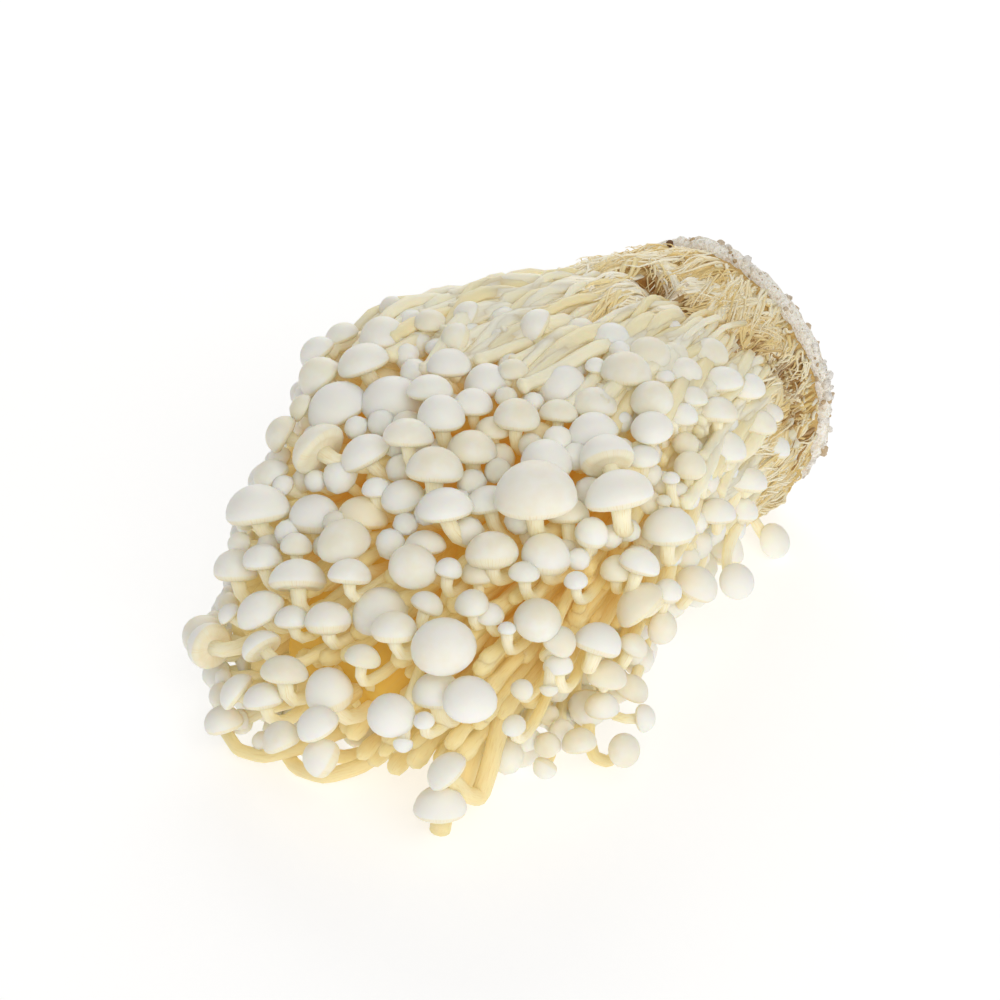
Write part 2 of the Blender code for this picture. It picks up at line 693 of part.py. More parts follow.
def crust_object(draw):
    """Cake of growing medium that the root grew on: a crumbly disc with a rounded back rim."""
    mesh = bmesh.new()
    rings = []
    for share, radius in CRUST_RINGS:
        x = mix(CRUST_BACK, ROOT_BACK - NODE_GAP, share)
        flat = share == 1.0
        loop = []
        for k in range(CRUST_TURNS):
            turn = 2 * math.pi * k / CRUST_TURNS
            rough = 0.0 if flat else draw.uniform(*CRUST_ROUGHNESS)
            lift = 0.0 if flat else draw.uniform(-CRUST_LIFT, CRUST_LIFT)
            reach = radius + rough + root_swell(turn, x) * radius / ROOT_RADIUS
            y, z = reach * math.cos(turn), ROOT_MIDDLE + reach * math.sin(turn)
            loop.append(mesh.verts.new((x + lift, y, max(z, 0.0))))
        rings.append(loop)
    join_rings(mesh, rings)
    return finish_mesh(mesh, "substrate_crust")


def give_material(thing, name, colour, roughness):
    material = bpy.data.materials.new(name)
    material.use_nodes = True
    shader = material.node_tree.nodes["Principled BSDF"]
    shader.inputs["Base Color"].default_value = (*colour, 1)
    shader.inputs["Roughness"].default_value = roughness
    shader.inputs["Metallic"].default_value = 0.0
    thing.data.materials.clear()
    thing.data.materials.append(material)


def build_mushrooms():
    draw = random.Random(MUSHROOM_SEED)
    shown = [photo_mushroom(cap, draw) for cap in PHOTO_CAPS]
    spread_along_sight(shown)
    grown = shown + hidden_mushrooms(shown, draw)
    bunch = core_object()
    fuse(bunch, [mushroom_object(mushroom, number) for number, mushroom in enumerate(grown)])
    clean_union(bunch)
    bunch.name = "mushrooms"
    give_material(bunch, "enoki flesh", (0.88, 0.83, 0.70), 0.45)


def build_root():
    draw = random.Random(ROOT_SEED)
    root = root_object()
    fuse(root, [fibre_object(number, draw) for number in range(FIBRE_COUNT)])
    clean_union(root)
    root.name = "root_mass"
    give_material(root, "matted root fibres", (0.74, 0.60, 0.38), 0.75)


def build_crust():
    crust = crust_object(random.Random(CRUST_SEED))
    give_material(crust, "growing medium", (0.48, 0.37, 0.25), 0.9)


for old in list(bpy.data.objects):
    bpy.data.objects.remove(old)
build_mushrooms()
build_root()
build_crust()
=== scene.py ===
"""Looks of an enoki mushroom bunch that lies on its side: satin white caps on cream and amber stems, a
matted fibrous root and a crumbly crust of growing medium, on a white table in soft light.

Lengths are in millimetres in the part's own frame, +X from the root to the caps and +Z up, and MM
turns them into metres.
"""
import math
import random
from collections import namedtuple

import bmesh
import bpy
import numpy as np
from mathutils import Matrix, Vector, noise


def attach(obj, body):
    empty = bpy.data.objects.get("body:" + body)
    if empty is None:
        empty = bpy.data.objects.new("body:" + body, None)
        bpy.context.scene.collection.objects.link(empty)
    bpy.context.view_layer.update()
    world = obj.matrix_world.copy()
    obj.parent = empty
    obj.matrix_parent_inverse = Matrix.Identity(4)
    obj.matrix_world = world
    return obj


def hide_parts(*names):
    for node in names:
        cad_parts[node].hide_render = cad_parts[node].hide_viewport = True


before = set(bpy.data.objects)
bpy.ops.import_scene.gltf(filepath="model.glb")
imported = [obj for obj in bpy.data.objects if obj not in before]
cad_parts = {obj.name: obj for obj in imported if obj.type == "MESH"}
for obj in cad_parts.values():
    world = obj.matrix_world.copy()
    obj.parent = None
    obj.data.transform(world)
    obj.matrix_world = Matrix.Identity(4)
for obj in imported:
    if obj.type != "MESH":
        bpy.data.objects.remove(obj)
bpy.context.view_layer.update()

MM = 0.001
MUSHROOM_SEED = 21

# Outline of the bunch: cross-sections along X, each a rounded box that is flattened by the table.
Section = namedtuple("Section", "x side half_width middle half_height")
SECTIONS = (
    Section(x=-15, side=0, half_width=25, middle=30, half_height=26),
    Section(x=-9, side=0, half_width=31, middle=30, half_height=31),
    Section(x=10, side=-2, half_width=33, middle=33, half_height=33),
    Section(x=30, side=-3, half_width=39, middle=33.5, half_height=33.5),
    Section(x=50, side=-4, half_width=49, middle=33.5, half_height=33.5),
    Section(x=70, side=-3, half_width=54, middle=33, half_height=33),
    Section(x=90, side=0, half_width=52, middle=29, half_height=30),
    Section(x=110, side=4, half_width=45, middle=23, half_height=24),
    Section(x=125, side=7, half_width=36, middle=18, half_height=18),
    Section(x=134, side=8, half_width=22, middle=14, half_height=11),
)
SQUARENESS = 2.6
ROOT_X = SECTIONS[0].x
TIP_X = SECTIONS[-1].x

# Root mass and crust
ROOT_RADIUS = 31.0
ROOT_MIDDLE = 29.4
ROOT_BACK = -9.6
ROOT_FRONT = 3.0
FRONT_RISE = 0.25
FRONT_SIDE = -0.28
SWELL_TURN = math.radians(118)
SWELL_WIDTH = 0.75
SWELL_BACK = 2.0
SWELL_FRONT = 6.5
SWELL_GROWTH = 20.0
NODE_GAP = 0.4
CRUST_BACK = -15.0
CRUST_FRONT = ROOT_BACK - NODE_GAP
SENSOR = 36.0

# Mushrooms
STEM_OF_CAP = 0.17
STEM_RADIUS_LEAST = 1.2
STEM_RADIUS_MOST = 2.0
STEM_START = 3.0
STEM_SPREAD = (0.95, 0.6)
STEM_SPREAD_FROM = 20.0
STEM_LEAD = 0.35
CAP_LEAD = 0.3
CAP_LEAD_MOST = 14.0
CAP_SEAT = 0.35
DOMES = (0.72, 0.95)
OTHER_DRAWS = 2  # the part's source draws as many values more for each mushroom
ROOT_CLEARANCE = 1.5
TABLE_REST = 0.75
OUTLINE_DEPTH = 0.97
SPREAD_ROUNDS = 40
SPREAD_STEP = 0.6
SPREAD_FULLEST = 1.12

# Mushrooms on the sides that the photo hides
HIDDEN_CAPS = 24
HIDDEN_CAP_RADII = (3.6, 5.6)
HIDDEN_TRIES = 6000
HIDDEN_X = (42.0, TIP_X - 2)
HIDDEN_DEPTH = 0.95
HIDDEN_FACING = -0.05
HIDDEN_REST = 0.8
HIDDEN_APART = 1.05
HIDDEN_AXIS = Vector((0.6, 0, 0.45))
HIDDEN_AXIS_CHANGE = 0.25

# The photo's view of the bunch, which turns a place in the photo into a place on the bunch
VIEW_TURN = math.radians(132)
VIEW_RISE = math.radians(35)
VIEW_DISTANCE = 560.0
VIEW_AIM = Vector((60.5, -2.5, 30.0))
PHOTO_MIDDLE = 500.0
FOCAL_PIXELS = 2640.0
SIGHT_SPAN = (0.75, 1.25)
SIGHT_STEP = 0.5
TO_VIEWER = Vector((math.sin(VIEW_TURN) * math.cos(VIEW_RISE), -math.cos(VIEW_TURN) * math.cos(VIEW_RISE),
                    math.sin(VIEW_RISE)))
VIEW_RIGHT = Vector((math.cos(VIEW_TURN), math.sin(VIEW_TURN), 0))
VIEW_UP = TO_VIEWER.cross(VIEW_RIGHT)
VIEWER = VIEW_AIM + TO_VIEWER * VIEW_DISTANCE

# Caps read from the photo: the middle and width of each in its pixels, how many degrees the cap leans
# clockwise from upright in the picture, how many it tips toward the viewer, and how many millimetres it
# stands nearer to the viewer than its neighbours.
Cap = namedtuple("Cap", "column row width lean tip nearer", defaults=(0, 0, 0))
UPPER_LEFT_CAPS = (
    Cap(column=341, row=334, width=34, lean=-20, tip=6),
    Cap(column=316, row=351, width=36, lean=-40, tip=6),
    Cap(column=318, row=376, width=44, lean=-45, tip=7),
    Cap(column=280, row=433, width=40, lean=-60, tip=6),
    Cap(column=336, row=405, width=62, lean=-25, tip=16),
    Cap(column=362, row=360, width=52, lean=-20, tip=12),
    Cap(column=383, row=338, width=50),
    Cap(column=392, row=399, width=60, lean=-10, tip=40),
    Cap(column=411, row=322, width=34, tip=7),
    Cap(column=433, row=312, width=34, tip=6),
    Cap(column=316, row=447, width=56, lean=-50, tip=-30),
    Cap(column=270, row=475, width=40, lean=-40, tip=6),
    Cap(column=364, row=452, width=50, lean=-30, tip=12),
    Cap(column=408, row=434, width=47, tip=7),
    Cap(column=441, row=415, width=47, tip=20),
    Cap(column=435, row=467, width=55, lean=5, tip=8, nearer=3),
    Cap(column=402, row=495, width=42, lean=-15, tip=20),
    Cap(column=444, row=505, width=56, lean=-12, tip=14, nearer=3),
    Cap(column=472, row=448, width=50, tip=20),
)
UPPER_MIDDLE_CAPS = (
    Cap(column=449, row=364, width=44, tip=12),
    Cap(column=430, row=388, width=44, tip=12),
    Cap(column=487, row=383, width=46, tip=16),
    Cap(column=473, row=403, width=40, tip=16),
    Cap(column=517, row=416, width=46, lean=5, tip=16),
    Cap(column=546, row=366, width=44, tip=12),
    Cap(column=562, row=386, width=52, tip=20),
    Cap(column=559, row=412, width=38, lean=5, tip=7),
    Cap(column=594, row=405, width=44, tip=12),
    Cap(column=592, row=432, width=50, lean=-20, tip=12),
    Cap(column=581, row=335, width=40, tip=7),
    Cap(column=611, row=340, width=40, tip=12),
    Cap(column=626, row=370, width=50, tip=12),
    Cap(column=648, row=356, width=46, tip=12),
    Cap(column=535, row=326, width=36, lean=-60, tip=12),
)
RIGHT_CAPS = (
    Cap(column=652, row=399, width=42, tip=35),
    Cap(column=652, row=427, width=42, tip=40),
    Cap(column=690, row=397, width=36, tip=12),
    Cap(column=708, row=355, width=40, tip=12),
    Cap(column=722, row=380, width=40, tip=12),
    Cap(column=718, row=412, width=38, tip=7),
    Cap(column=759, row=424, width=34, tip=12),
    Cap(column=725, row=448, width=44, lean=5, tip=16),
    Cap(column=780, row=442, width=34, lean=10, tip=12),
    Cap(column=747, row=480, width=40, lean=10, tip=16),
    Cap(column=669, row=528, width=52, tip=16),
    Cap(column=717, row=512, width=36, tip=16),
    Cap(column=740, row=510, width=36, lean=10, tip=16),
    Cap(column=722, row=548, width=44, lean=10, tip=16),
    Cap(column=776, row=541, width=34, lean=80, tip=58),
    Cap(column=738, row=581, width=37, lean=60, tip=55),
    Cap(column=697, row=584, width=44, lean=30, tip=20),
    Cap(column=640, row=562, width=40, lean=15, tip=16),
    Cap(column=638, row=603, width=52, lean=-40, tip=6),
    Cap(column=663, row=628, width=34, lean=110, tip=45),
)
CENTRE_CAPS = (
    Cap(column=546, row=460, width=52, tip=16),
    Cap(column=535, row=491, width=79, tip=18, nearer=7),
    Cap(column=488, row=500, width=46, lean=-10, tip=12),
    Cap(column=606, row=456, width=54, lean=-15, tip=-28),
    Cap(column=619, row=491, width=66, lean=-8, tip=12, nearer=3),
    Cap(column=568, row=512, width=42, tip=7),
    Cap(column=546, row=553, width=50, tip=20),
    Cap(column=492, row=549, width=52, tip=7),
    Cap(column=443, row=645, width=62, lean=-10, tip=58, nearer=4),
    Cap(column=379, row=610, width=56, lean=-20, tip=40),
    Cap(column=394, row=626, width=43, tip=7),
    Cap(column=413, row=565, width=47, tip=55),
    Cap(column=425, row=543, width=40, tip=12),
    Cap(column=538, row=619, width=47, lean=10, tip=50),
    Cap(column=599, row=641, width=48, lean=20, tip=7),
    Cap(column=607, row=675, width=40, lean=10, tip=20),
    Cap(column=632, row=688, width=36, lean=30, tip=16),
    Cap(column=579, row=741, width=36, lean=-10, tip=16),
    Cap(column=625, row=750, width=34, lean=60, tip=50),
    Cap(column=470, row=698, width=52, lean=10, tip=55),
    Cap(column=437, row=691, width=50, tip=16),
    Cap(column=391, row=714, width=46, tip=55),
)
LOWER_LEFT_CAPS = (
    Cap(column=328, row=690, width=50, lean=-15, tip=20),
    Cap(column=317, row=724, width=42, lean=-30, tip=16),
    Cap(column=320, row=757, width=40, lean=-60, tip=12),
    Cap(column=281, row=738, width=40, lean=-20, tip=7),
    Cap(column=223, row=721, width=38, lean=-20, tip=7),
    Cap(column=235, row=690, width=40, lean=-50),
    Cap(column=263, row=697, width=40, lean=-10, tip=7),
    Cap(column=284, row=670, width=46, tip=12),
    Cap(column=208, row=645, width=46, lean=-70, tip=-48),
    Cap(column=236, row=568, width=44, lean=-5, tip=7),
    Cap(column=262, row=558, width=40, lean=-10, tip=7),
    Cap(column=259, row=609, width=48, lean=-30, tip=20),
    Cap(column=298, row=577, width=54, tip=-10),
    Cap(column=257, row=507, width=62, lean=-8, tip=8),
    Cap(column=315, row=513, width=50, tip=12),
    Cap(column=343, row=540, width=53, lean=-15, tip=32, nearer=2),
    Cap(column=363, row=514, width=52, tip=7),
    Cap(column=350, row=573, width=42, lean=5, tip=7),
    Cap(column=328, row=617, width=46, tip=7),
    Cap(column=440, row=805, width=50, tip=16),
    Cap(column=445, row=770, width=46, lean=-40, tip=10),
)
PHOTO_CAPS = UPPER_LEFT_CAPS + UPPER_MIDDLE_CAPS + RIGHT_CAPS + CENTRE_CAPS + LOWER_LEFT_CAPS

# Outline of the bunch in the photo, clockwise from the top of its root
Spot = namedtuple("Spot", "column row")
PHOTO_OUTLINE = (
    Spot(column=655, row=236),
    Spot(column=700, row=243),
    Spot(column=760, row=280),
    Spot(column=812, row=340),
    Spot(column=825, row=400),
    Spot(column=810, row=450),
    Spot(column=775, row=500),
    Spot(column=757, row=581),
    Spot(column=680, row=628),
    Spot(column=659, row=700),
    Spot(column=610, row=755),
    Spot(column=540, row=770),
    Spot(column=490, row=790),
    Spot(column=440, row=750),
    Spot(column=320, row=770),
    Spot(column=240, row=755),
    Spot(column=204, row=720),
    Spot(column=183, row=640),
    Spot(column=211, row=570),
    Spot(column=226, row=507),
    Spot(column=262, row=433),
    Spot(column=300, row=345),
    Spot(column=340, row=325),
    Spot(column=400, row=300),
    Spot(column=450, row=298),
    Spot(column=510, row=280),
    Spot(column=545, row=270),
    Spot(column=600, row=246),
)

# Smaller or half hidden caps, read the same way, that fit in between the others
CAPS_BETWEEN = (
    Cap(column=381, row=387, width=50, lean=-30, tip=20),
    Cap(column=392, row=307, width=26, tip=15),
    Cap(column=377, row=464, width=28, tip=20),
    Cap(column=376, row=488, width=28, tip=20),
    Cap(column=470, row=370, width=44, tip=20),
    Cap(column=513, row=369, width=30, tip=25),
    Cap(column=575, row=368, width=24, tip=20),
    Cap(column=596, row=366, width=21, tip=20),
    Cap(column=620, row=350, width=22, tip=20),
    Cap(column=673, row=355, width=30, tip=20),
    Cap(column=665, row=376, width=20, tip=20),
    Cap(column=455, row=338, width=30, lean=-70, tip=20),
    Cap(column=465, row=315, width=30, lean=-60, tip=20),
    Cap(column=684, row=372, width=34, tip=35),
    Cap(column=493, row=428, width=36, tip=15),
    Cap(column=683, row=415, width=30, tip=30),
    Cap(column=775, row=408, width=30, tip=20),
    Cap(column=748, row=387, width=34, tip=20),
    Cap(column=703, row=476, width=18, tip=20),
    Cap(column=671, row=478, width=18, tip=20),
    Cap(column=664, row=500, width=15, tip=30),
    Cap(column=690, row=465, width=32, tip=20),
    Cap(column=643, row=456, width=34, tip=25),
    Cap(column=592, row=532, width=34, lean=10, tip=25),
    Cap(column=617, row=569, width=34, tip=25),
    Cap(column=668, row=590, width=28, lean=10, tip=25),
    Cap(column=634, row=645, width=30, lean=30, tip=20),
    Cap(column=524, row=572, width=30, tip=20),
    Cap(column=576, row=580, width=24, tip=30),
    Cap(column=449, row=569, width=27, lean=15, tip=15),
    Cap(column=478, row=573, width=34, tip=15),
    Cap(column=428, row=603, width=34, lean=25, tip=10),
    Cap(column=472, row=603, width=34, tip=25),
    Cap(column=490, row=614, width=28, tip=40),
    Cap(column=507, row=628, width=18, tip=30),
    Cap(column=560, row=641, width=34, lean=40, tip=30),
    Cap(column=558, row=664, width=30, tip=20),
    Cap(column=522, row=689, width=22, tip=60),
    Cap(column=514, row=725, width=24, tip=40),
    Cap(column=549, row=690, width=18, lean=180, tip=10),
    Cap(column=602, row=706, width=34, tip=25),
    Cap(column=645, row=718, width=28, lean=80, tip=20),
    Cap(column=544, row=769, width=24, lean=-150, tip=10),
    Cap(column=424, row=720, width=22, tip=30),
    Cap(column=403, row=745, width=20, lean=180, tip=20),
    Cap(column=228, row=613, width=24, lean=-40, tip=10),
    Cap(column=296, row=545, width=30, tip=15),
    Cap(column=295, row=528, width=32, tip=20),
    Cap(column=260, row=645, width=40, lean=-40, tip=-20),
    Cap(column=292, row=618, width=34, lean=-5, tip=15),
    Cap(column=363, row=656, width=36, lean=10, tip=15),
    Cap(column=201, row=634, width=42, lean=-50, tip=10),
    Cap(column=300, row=407, width=28, lean=-60, tip=10),
    Cap(column=430, row=321, width=32, tip=20),
    Cap(column=377, row=390, width=46, lean=-30, tip=20),
)

# Stems that show from end to end below the caps: spots in the photo that each passes, from its free end,
# half its thickness, how high it lies at its free and far ends, and how high the cap is that it hangs from
LowStem = namedtuple("LowStem", "radius low high spots hangs_from", defaults=(None,))
LOW_STEMS = (
    LowStem(radius=1.4, low=3, high=6, spots=(
        Spot(column=226, row=732), Spot(column=238, row=750), Spot(column=264, row=757),
        Spot(column=300, row=748), Spot(column=345, row=730))),
    LowStem(radius=1.6, low=1.6, high=8, spots=(
        Spot(column=283, row=748), Spot(column=296, row=768), Spot(column=325, row=777),
        Spot(column=360, row=767), Spot(column=392, row=745), Spot(column=440, row=715))),
    LowStem(radius=1.5, low=1.6, high=9, spots=(
        Spot(column=305, row=742), Spot(column=340, row=758), Spot(column=380, row=750),
        Spot(column=420, row=728), Spot(column=455, row=700))),
    LowStem(radius=1.8, low=3, high=24, hangs_from=19, spots=(
        Spot(column=450, row=776), Spot(column=464, row=794), Spot(column=480, row=798),
        Spot(column=489, row=770), Spot(column=499, row=730), Spot(column=514, row=675))),
    LowStem(radius=2.3, low=2.3, high=22, spots=(
        Spot(column=440, row=830), Spot(column=443, row=812), Spot(column=462, row=785),
        Spot(column=472, row=750), Spot(column=484, row=705), Spot(column=500, row=660))),
    LowStem(radius=2.2, low=2.2, high=24, spots=(
        Spot(column=474, row=800), Spot(column=480, row=775), Spot(column=486, row=735),
        Spot(column=498, row=690), Spot(column=508, row=660))),
    LowStem(radius=1.7, low=5, high=26, spots=(
        Spot(column=458, row=772), Spot(column=463, row=745), Spot(column=474, row=710),
        Spot(column=490, row=670))),
    LowStem(radius=1.5, low=2, high=16, spots=(
        Spot(column=545, row=765), Spot(column=553, row=745), Spot(column=561, row=715),
        Spot(column=563, row=680), Spot(column=570, row=640))),
    LowStem(radius=1.5, low=4, high=20, spots=(
        Spot(column=580, row=742), Spot(column=574, row=715), Spot(column=574, row=680),
        Spot(column=582, row=640))),
    LowStem(radius=1.3, low=2, high=10, spots=(
        Spot(column=620, row=752), Spot(column=608, row=762), Spot(column=594, row=757),
        Spot(column=588, row=735), Spot(column=590, row=705))),
)

# Small mushrooms between the large ones, in layers from the outline inward
Layer = namedtuple("Layer", "level count radii")
LAYERS = (
    Layer(level=0.97, count=120, radii=(2.8, 4.6)),
    Layer(level=0.89, count=260, radii=(2.4, 4.4)),
    Layer(level=0.80, count=220, radii=(2.0, 3.8)),
)
OUTER_LEVEL = 0.95
CROWDED_ROWS = 560
FILLER_TRIES = 9000
FILLER_X = (16.0, TIP_X - 3)
FILLER_APART = 0.8
FILLER_FACING = 0.05
FILLER_OUTWARD = 0.55
FILLER_AXIS = Vector((0.35, 0, 0.5))
FILLER_AXIS_CHANGE = 0.3
BETWEEN_SEED = 41
BETWEEN_APART = 0.8
BETWEEN_STEP = 0.5
BETWEEN_STEPS = 30

# How far the painted shade of the flesh deepens from the outline inward, and how much painted shade caps in
# a crowd take
DEPTH_FADE_X = TIP_X - 6
DEPTH_FADE_LENGTH = 55.0
DEPTH_AT_TIP = 0.15
SHADE_REACH = 1.5
SHADE_STEP = 0.08
SHADE_OF_CROWD = 0.2
SHADE_OF_DEPTH = 2.3

# Caps and stems as they show, a little fuller and slimmer than the solids
TABLE_GAP = 0.05
CAP_FULLER = 1.06
CAP_SUNK = 0.3
CAP_RAISED = 0.07
MASTER_DOME = 0.87
BROAD_CAP_RADIUS = 5.4
BUTTON_SHARE = 0.14
STEM_SLIMMER = 0.9
STEM_BEND_SHARE = 0.3
STEM_BENDS = (16, 26)
STEM_BEND_LEAST = 5
STEM_BEND_TO_X = 100
STEM_BEND_FULLEST = 1.04
GRAIN_SHIFT = 40  # gives each stem streaks of its own
GRAIN_ALONG = 0.05
FINE_RINGS = 18
PLAIN_RINGS = 9

# Stems packed inside the bunch, and bare stems along its outside next to the root
PACKED_COUNT = 620
PACKED_SPREAD = 0.97
PACKED_THICKNESS = (1.15, 1.9)
PACKED_LEAST_HEIGHT = 2.2
PACKED_INNER_SHARE = 0.8
PACKED_INNER_X = (60, TIP_X - 9)
PACKED_OUTER_X = (38, TIP_X - 14)
GOLDEN_ANGLE = math.pi * (3 - math.sqrt(5))
BARE_COUNT = 520
BARE_BEGIN = -9.0
BARE_LENGTHS = (14, 36)
BARE_LEVELS = (0.90, 0.985)
BARE_SIDE_X = 50
BARE_SIDE_X_OF_Y = 0.35
BARE_SIDE_Y = 8
BARE_SIDE_Y_OF_X = 0.1
BARE_SIDE_HEIGHT = 34
BED_SIDES = 220
BED_RINGS = 44
BED_X = (2, 46)
BED_LEVEL = 0.93
BED_LEAST_HEIGHT = 0.8
CORE_SIDES = 48
CORE_RINGS = 9
CORE_X = (10, TIP_X - 16)
CORE_LEVELS = (0.74, 0.34)
# how deep the core counts as, so that the stem finish paints it in amber shade
CORE_DEPTH = 0.45
CORE_LEAST_HEIGHT = 1.5
FAR_FROM_CAP = 40.0

# Long stems below the caps, and which caps they meet
LOW_STEM_EASING = np.array((1, 3, 5, 6, 5, 3, 1)) / 24
LOW_STEM_SEAT = 0.6
LOW_STEM_SEAT_HEIGHT = 24
LOW_STEM_REACH = 1.7

# Root and crust as they show
SKIN_SIDES = 200
SKIN_RINGS = 40
SKIN_INSET = 1.5
SKIN_SHARE = 0.985
FULL_HOLLOW = 3.0
LOCK_COUNT = 390
LOCK_FIBRES = (7, 13)
LOCK_SPREAD = 0.055
LOCK_LENGTHS = (7, 20)
LOCK_LENGTHS_AT_HOLLOWS = (4, 6)
LOCK_THICKNESS = (0.34, 0.62)
FIBRE_SIDES = 3
FIBRE_RINGS = 6
WHISKER_COUNT = 130
WHISKER_THICKNESS = 0.2
PINHEAD_COUNT = 170
PINHEAD_SIDES = 5
PINHEAD_RINGS = 7
CRUMB_COUNT = 950
CRUMB_SIZES = (0.3, 1.15)


def mix(a, b, share):
    return a + (b - a) * share


def clamp(value, low, high):
    return max(low, min(high, value))


def section_at(x):
    """Cross-section of the bunch at x, read between the two nearest of SECTIONS."""
    x = clamp(x, ROOT_X, TIP_X)
    for back, front in zip(SECTIONS, SECTIONS[1:]):
        if x <= front.x:
            share = (x - back.x) / (front.x - back.x)
            return Section(*(mix(a, b, share) for a, b in zip(back, front)))
    return SECTIONS[-1]


def fullness(point):
    """0 on the middle line of the bunch, 1 on its outline, more outside."""
    at = section_at(point.x)
    across = abs((point.y - at.side) / at.half_width)
    upward = abs((point.z - at.middle) / at.half_height)
    beyond = max(0.0, point.x - TIP_X, ROOT_X - point.x)
    return (across ** SQUARENESS + upward ** SQUARENESS) ** (1 / SQUARENESS) + beyond / 8


def outline_point(x, turn, scale=1.0):
    """Point on the outline at x, turned from +Y toward +Z, drawn in or out by scale."""
    at = section_at(x)
    c, s = math.cos(turn), math.sin(turn)
    reach = scale * (abs(c) ** SQUARENESS + abs(s) ** SQUARENESS) ** (-1 / SQUARENESS)
    return Vector((x, at.side + at.half_width * reach * c, at.middle + at.half_height * reach * s))


def outward(point):
    """Direction straight out of the bunch's outline at a point, by differences of fullness."""
    step = 0.5
    slope = Vector()
    for axis in range(3):
        shift = Vector()
        shift[axis] = step
        slope[axis] = fullness(point + shift) - fullness(point - shift)
    return slope.normalized()


def root_front(y, z):
    """X of the slanted plane where the root mass ends and the stems begin."""
    return ROOT_FRONT + FRONT_RISE * z + FRONT_SIDE * y


def front_at(turn):
    """X where the root's side ends, at an angle round it."""
    return root_front(math.cos(turn) * ROOT_RADIUS, ROOT_MIDDLE + math.sin(turn) * ROOT_RADIUS)


def root_swell(turn, x):
    """How far the root stands out of its round shape on its upper far side, more toward the front."""
    off = math.remainder(turn - SWELL_TURN, 2 * math.pi) / SWELL_WIDTH
    height = mix(SWELL_BACK, SWELL_FRONT, clamp((x - ROOT_BACK) / SWELL_GROWTH, 0, 1))
    return height * math.exp(-off * off)


class Mushroom:
    """One mushroom: the middle of its cap, the way the cap points, its size and its dome."""

    def __init__(self, middle, axis, cap_radius, draw, sight=None):
        self.middle = middle
        self.axis = axis.normalized()
        self.cap_radius = cap_radius
        self.stem_radius = clamp(cap_radius * 2 * STEM_OF_CAP, STEM_RADIUS_LEAST, STEM_RADIUS_MOST)
        self.dome = draw.uniform(*DOMES)
        for _ in range(OTHER_DRAWS):
            draw.random()
        self.sight = sight

    def route(self):
        """Middle line of the stem, a cubic from the root to the underside of the cap."""
        at = section_at(self.middle.x)
        across = (self.middle.y - at.side) / at.half_width
        upward = (self.middle.z - at.middle) / at.half_height
        along = clamp((self.middle.x - STEM_SPREAD_FROM) / (TIP_X - STEM_SPREAD_FROM), 0, 1)
        spread = mix(*STEM_SPREAD, along) * ROOT_RADIUS
        length = math.hypot(across, upward) or 1.0
        across, upward = across / max(length, 1.0), upward / max(length, 1.0)
        start = Vector((0, across * spread, ROOT_MIDDLE + upward * spread))
        start.x = root_front(start.y, start.z) + STEM_START
        end = self.middle - self.axis * self.cap_radius * CAP_SEAT
        reach = (end - start).length
        bend = end - self.axis * min(reach * CAP_LEAD, CAP_LEAD_MOST)
        return (start, start + Vector((reach * STEM_LEAD, 0, 0)), bend, end)


def fullness_of(points):
    """fullness of an array of points, one a row."""
    x = np.clip(points[:, 0], ROOT_X, TIP_X)
    stations = [section.x for section in SECTIONS]
    side, half_width, middle, half_height = (
        np.interp(x, stations, [getattr(section, name) for section in SECTIONS])
        for name in ("side", "half_width", "middle", "half_height"))
    across = np.abs((points[:, 1] - side) / half_width)
    upward = np.abs((points[:, 2] - middle) / half_height)
    return (across ** SQUARENESS + upward ** SQUARENESS) ** (1 / SQUARENESS)


# Depth in the bunch, which the finishes turn into painted shade on stems and caps
def depth_of(points):
    """How deep points lie in the bunch: 0 on its outline, 1 on its middle line, less toward the tip."""
    toward_tip = np.clip((DEPTH_FADE_X - points[:, 0]) / DEPTH_FADE_LENGTH, DEPTH_AT_TIP, 1)
    return (1 - fullness_of(points)) * toward_tip


def photo_mushroom(cap, draw):
    """Mushroom of a cap read from the photo: its line of sight meets the outline, or else the table."""
    sight = (VIEW_RIGHT * (cap.column - PHOTO_MIDDLE) - VIEW_UP * (cap.row - PHOTO_MIDDLE)) / FOCAL_PIXELS
    sight = (sight - TO_VIEWER).normalized()
    nearest = None
    nearest_distance, furthest_distance = (VIEW_DISTANCE * share for share in SIGHT_SPAN)
    distance = nearest_distance
    while distance < furthest_distance:
        point = VIEWER + sight * distance
        cap_radius = cap.width / 2 * distance / FOCAL_PIXELS
        full = fullness(point)
        if nearest is None or full < nearest[0]:
            nearest = (full, point, cap_radius)
        if full < OUTLINE_DEPTH or point.z < cap_radius * TABLE_REST:
            break
        distance += SIGHT_STEP
    full, point, cap_radius = nearest
    lean, tip = math.radians(cap.lean), math.radians(cap.tip)
    in_picture = VIEW_RIGHT * math.sin(lean) + VIEW_UP * math.cos(lean)
    axis = in_picture * math.cos(tip) + TO_VIEWER * math.sin(tip)
    clear_of_root = root_front(point.y, point.z) + cap_radius + ROOT_CLEARANCE
    point.x = max(point.x, clear_of_root)
    point -= sight * cap.nearer
    return Mushroom(point, axis, cap_radius, draw, sight)


def spread_along_sight(mushrooms):
    """Caps that would pass through each other move apart along their lines of sight."""
    for _ in range(SPREAD_ROUNDS):
        for i, one in enumerate(mushrooms):
            for other in mushrooms[i + 1:]:
                apart = one.middle - other.middle
                wanted = one.cap_radius + other.cap_radius
                if apart.length >= wanted:
                    continue
                step = min(SPREAD_STEP, wanted - apart.length)
                nearer, further = (one, other) if apart.dot(TO_VIEWER) > 0 else (other, one)
                if fullness(nearer.middle) < SPREAD_FULLEST:
                    nearer.middle -= nearer.sight * step
                if further.middle.z > further.cap_radius:
                    further.middle += further.sight * step


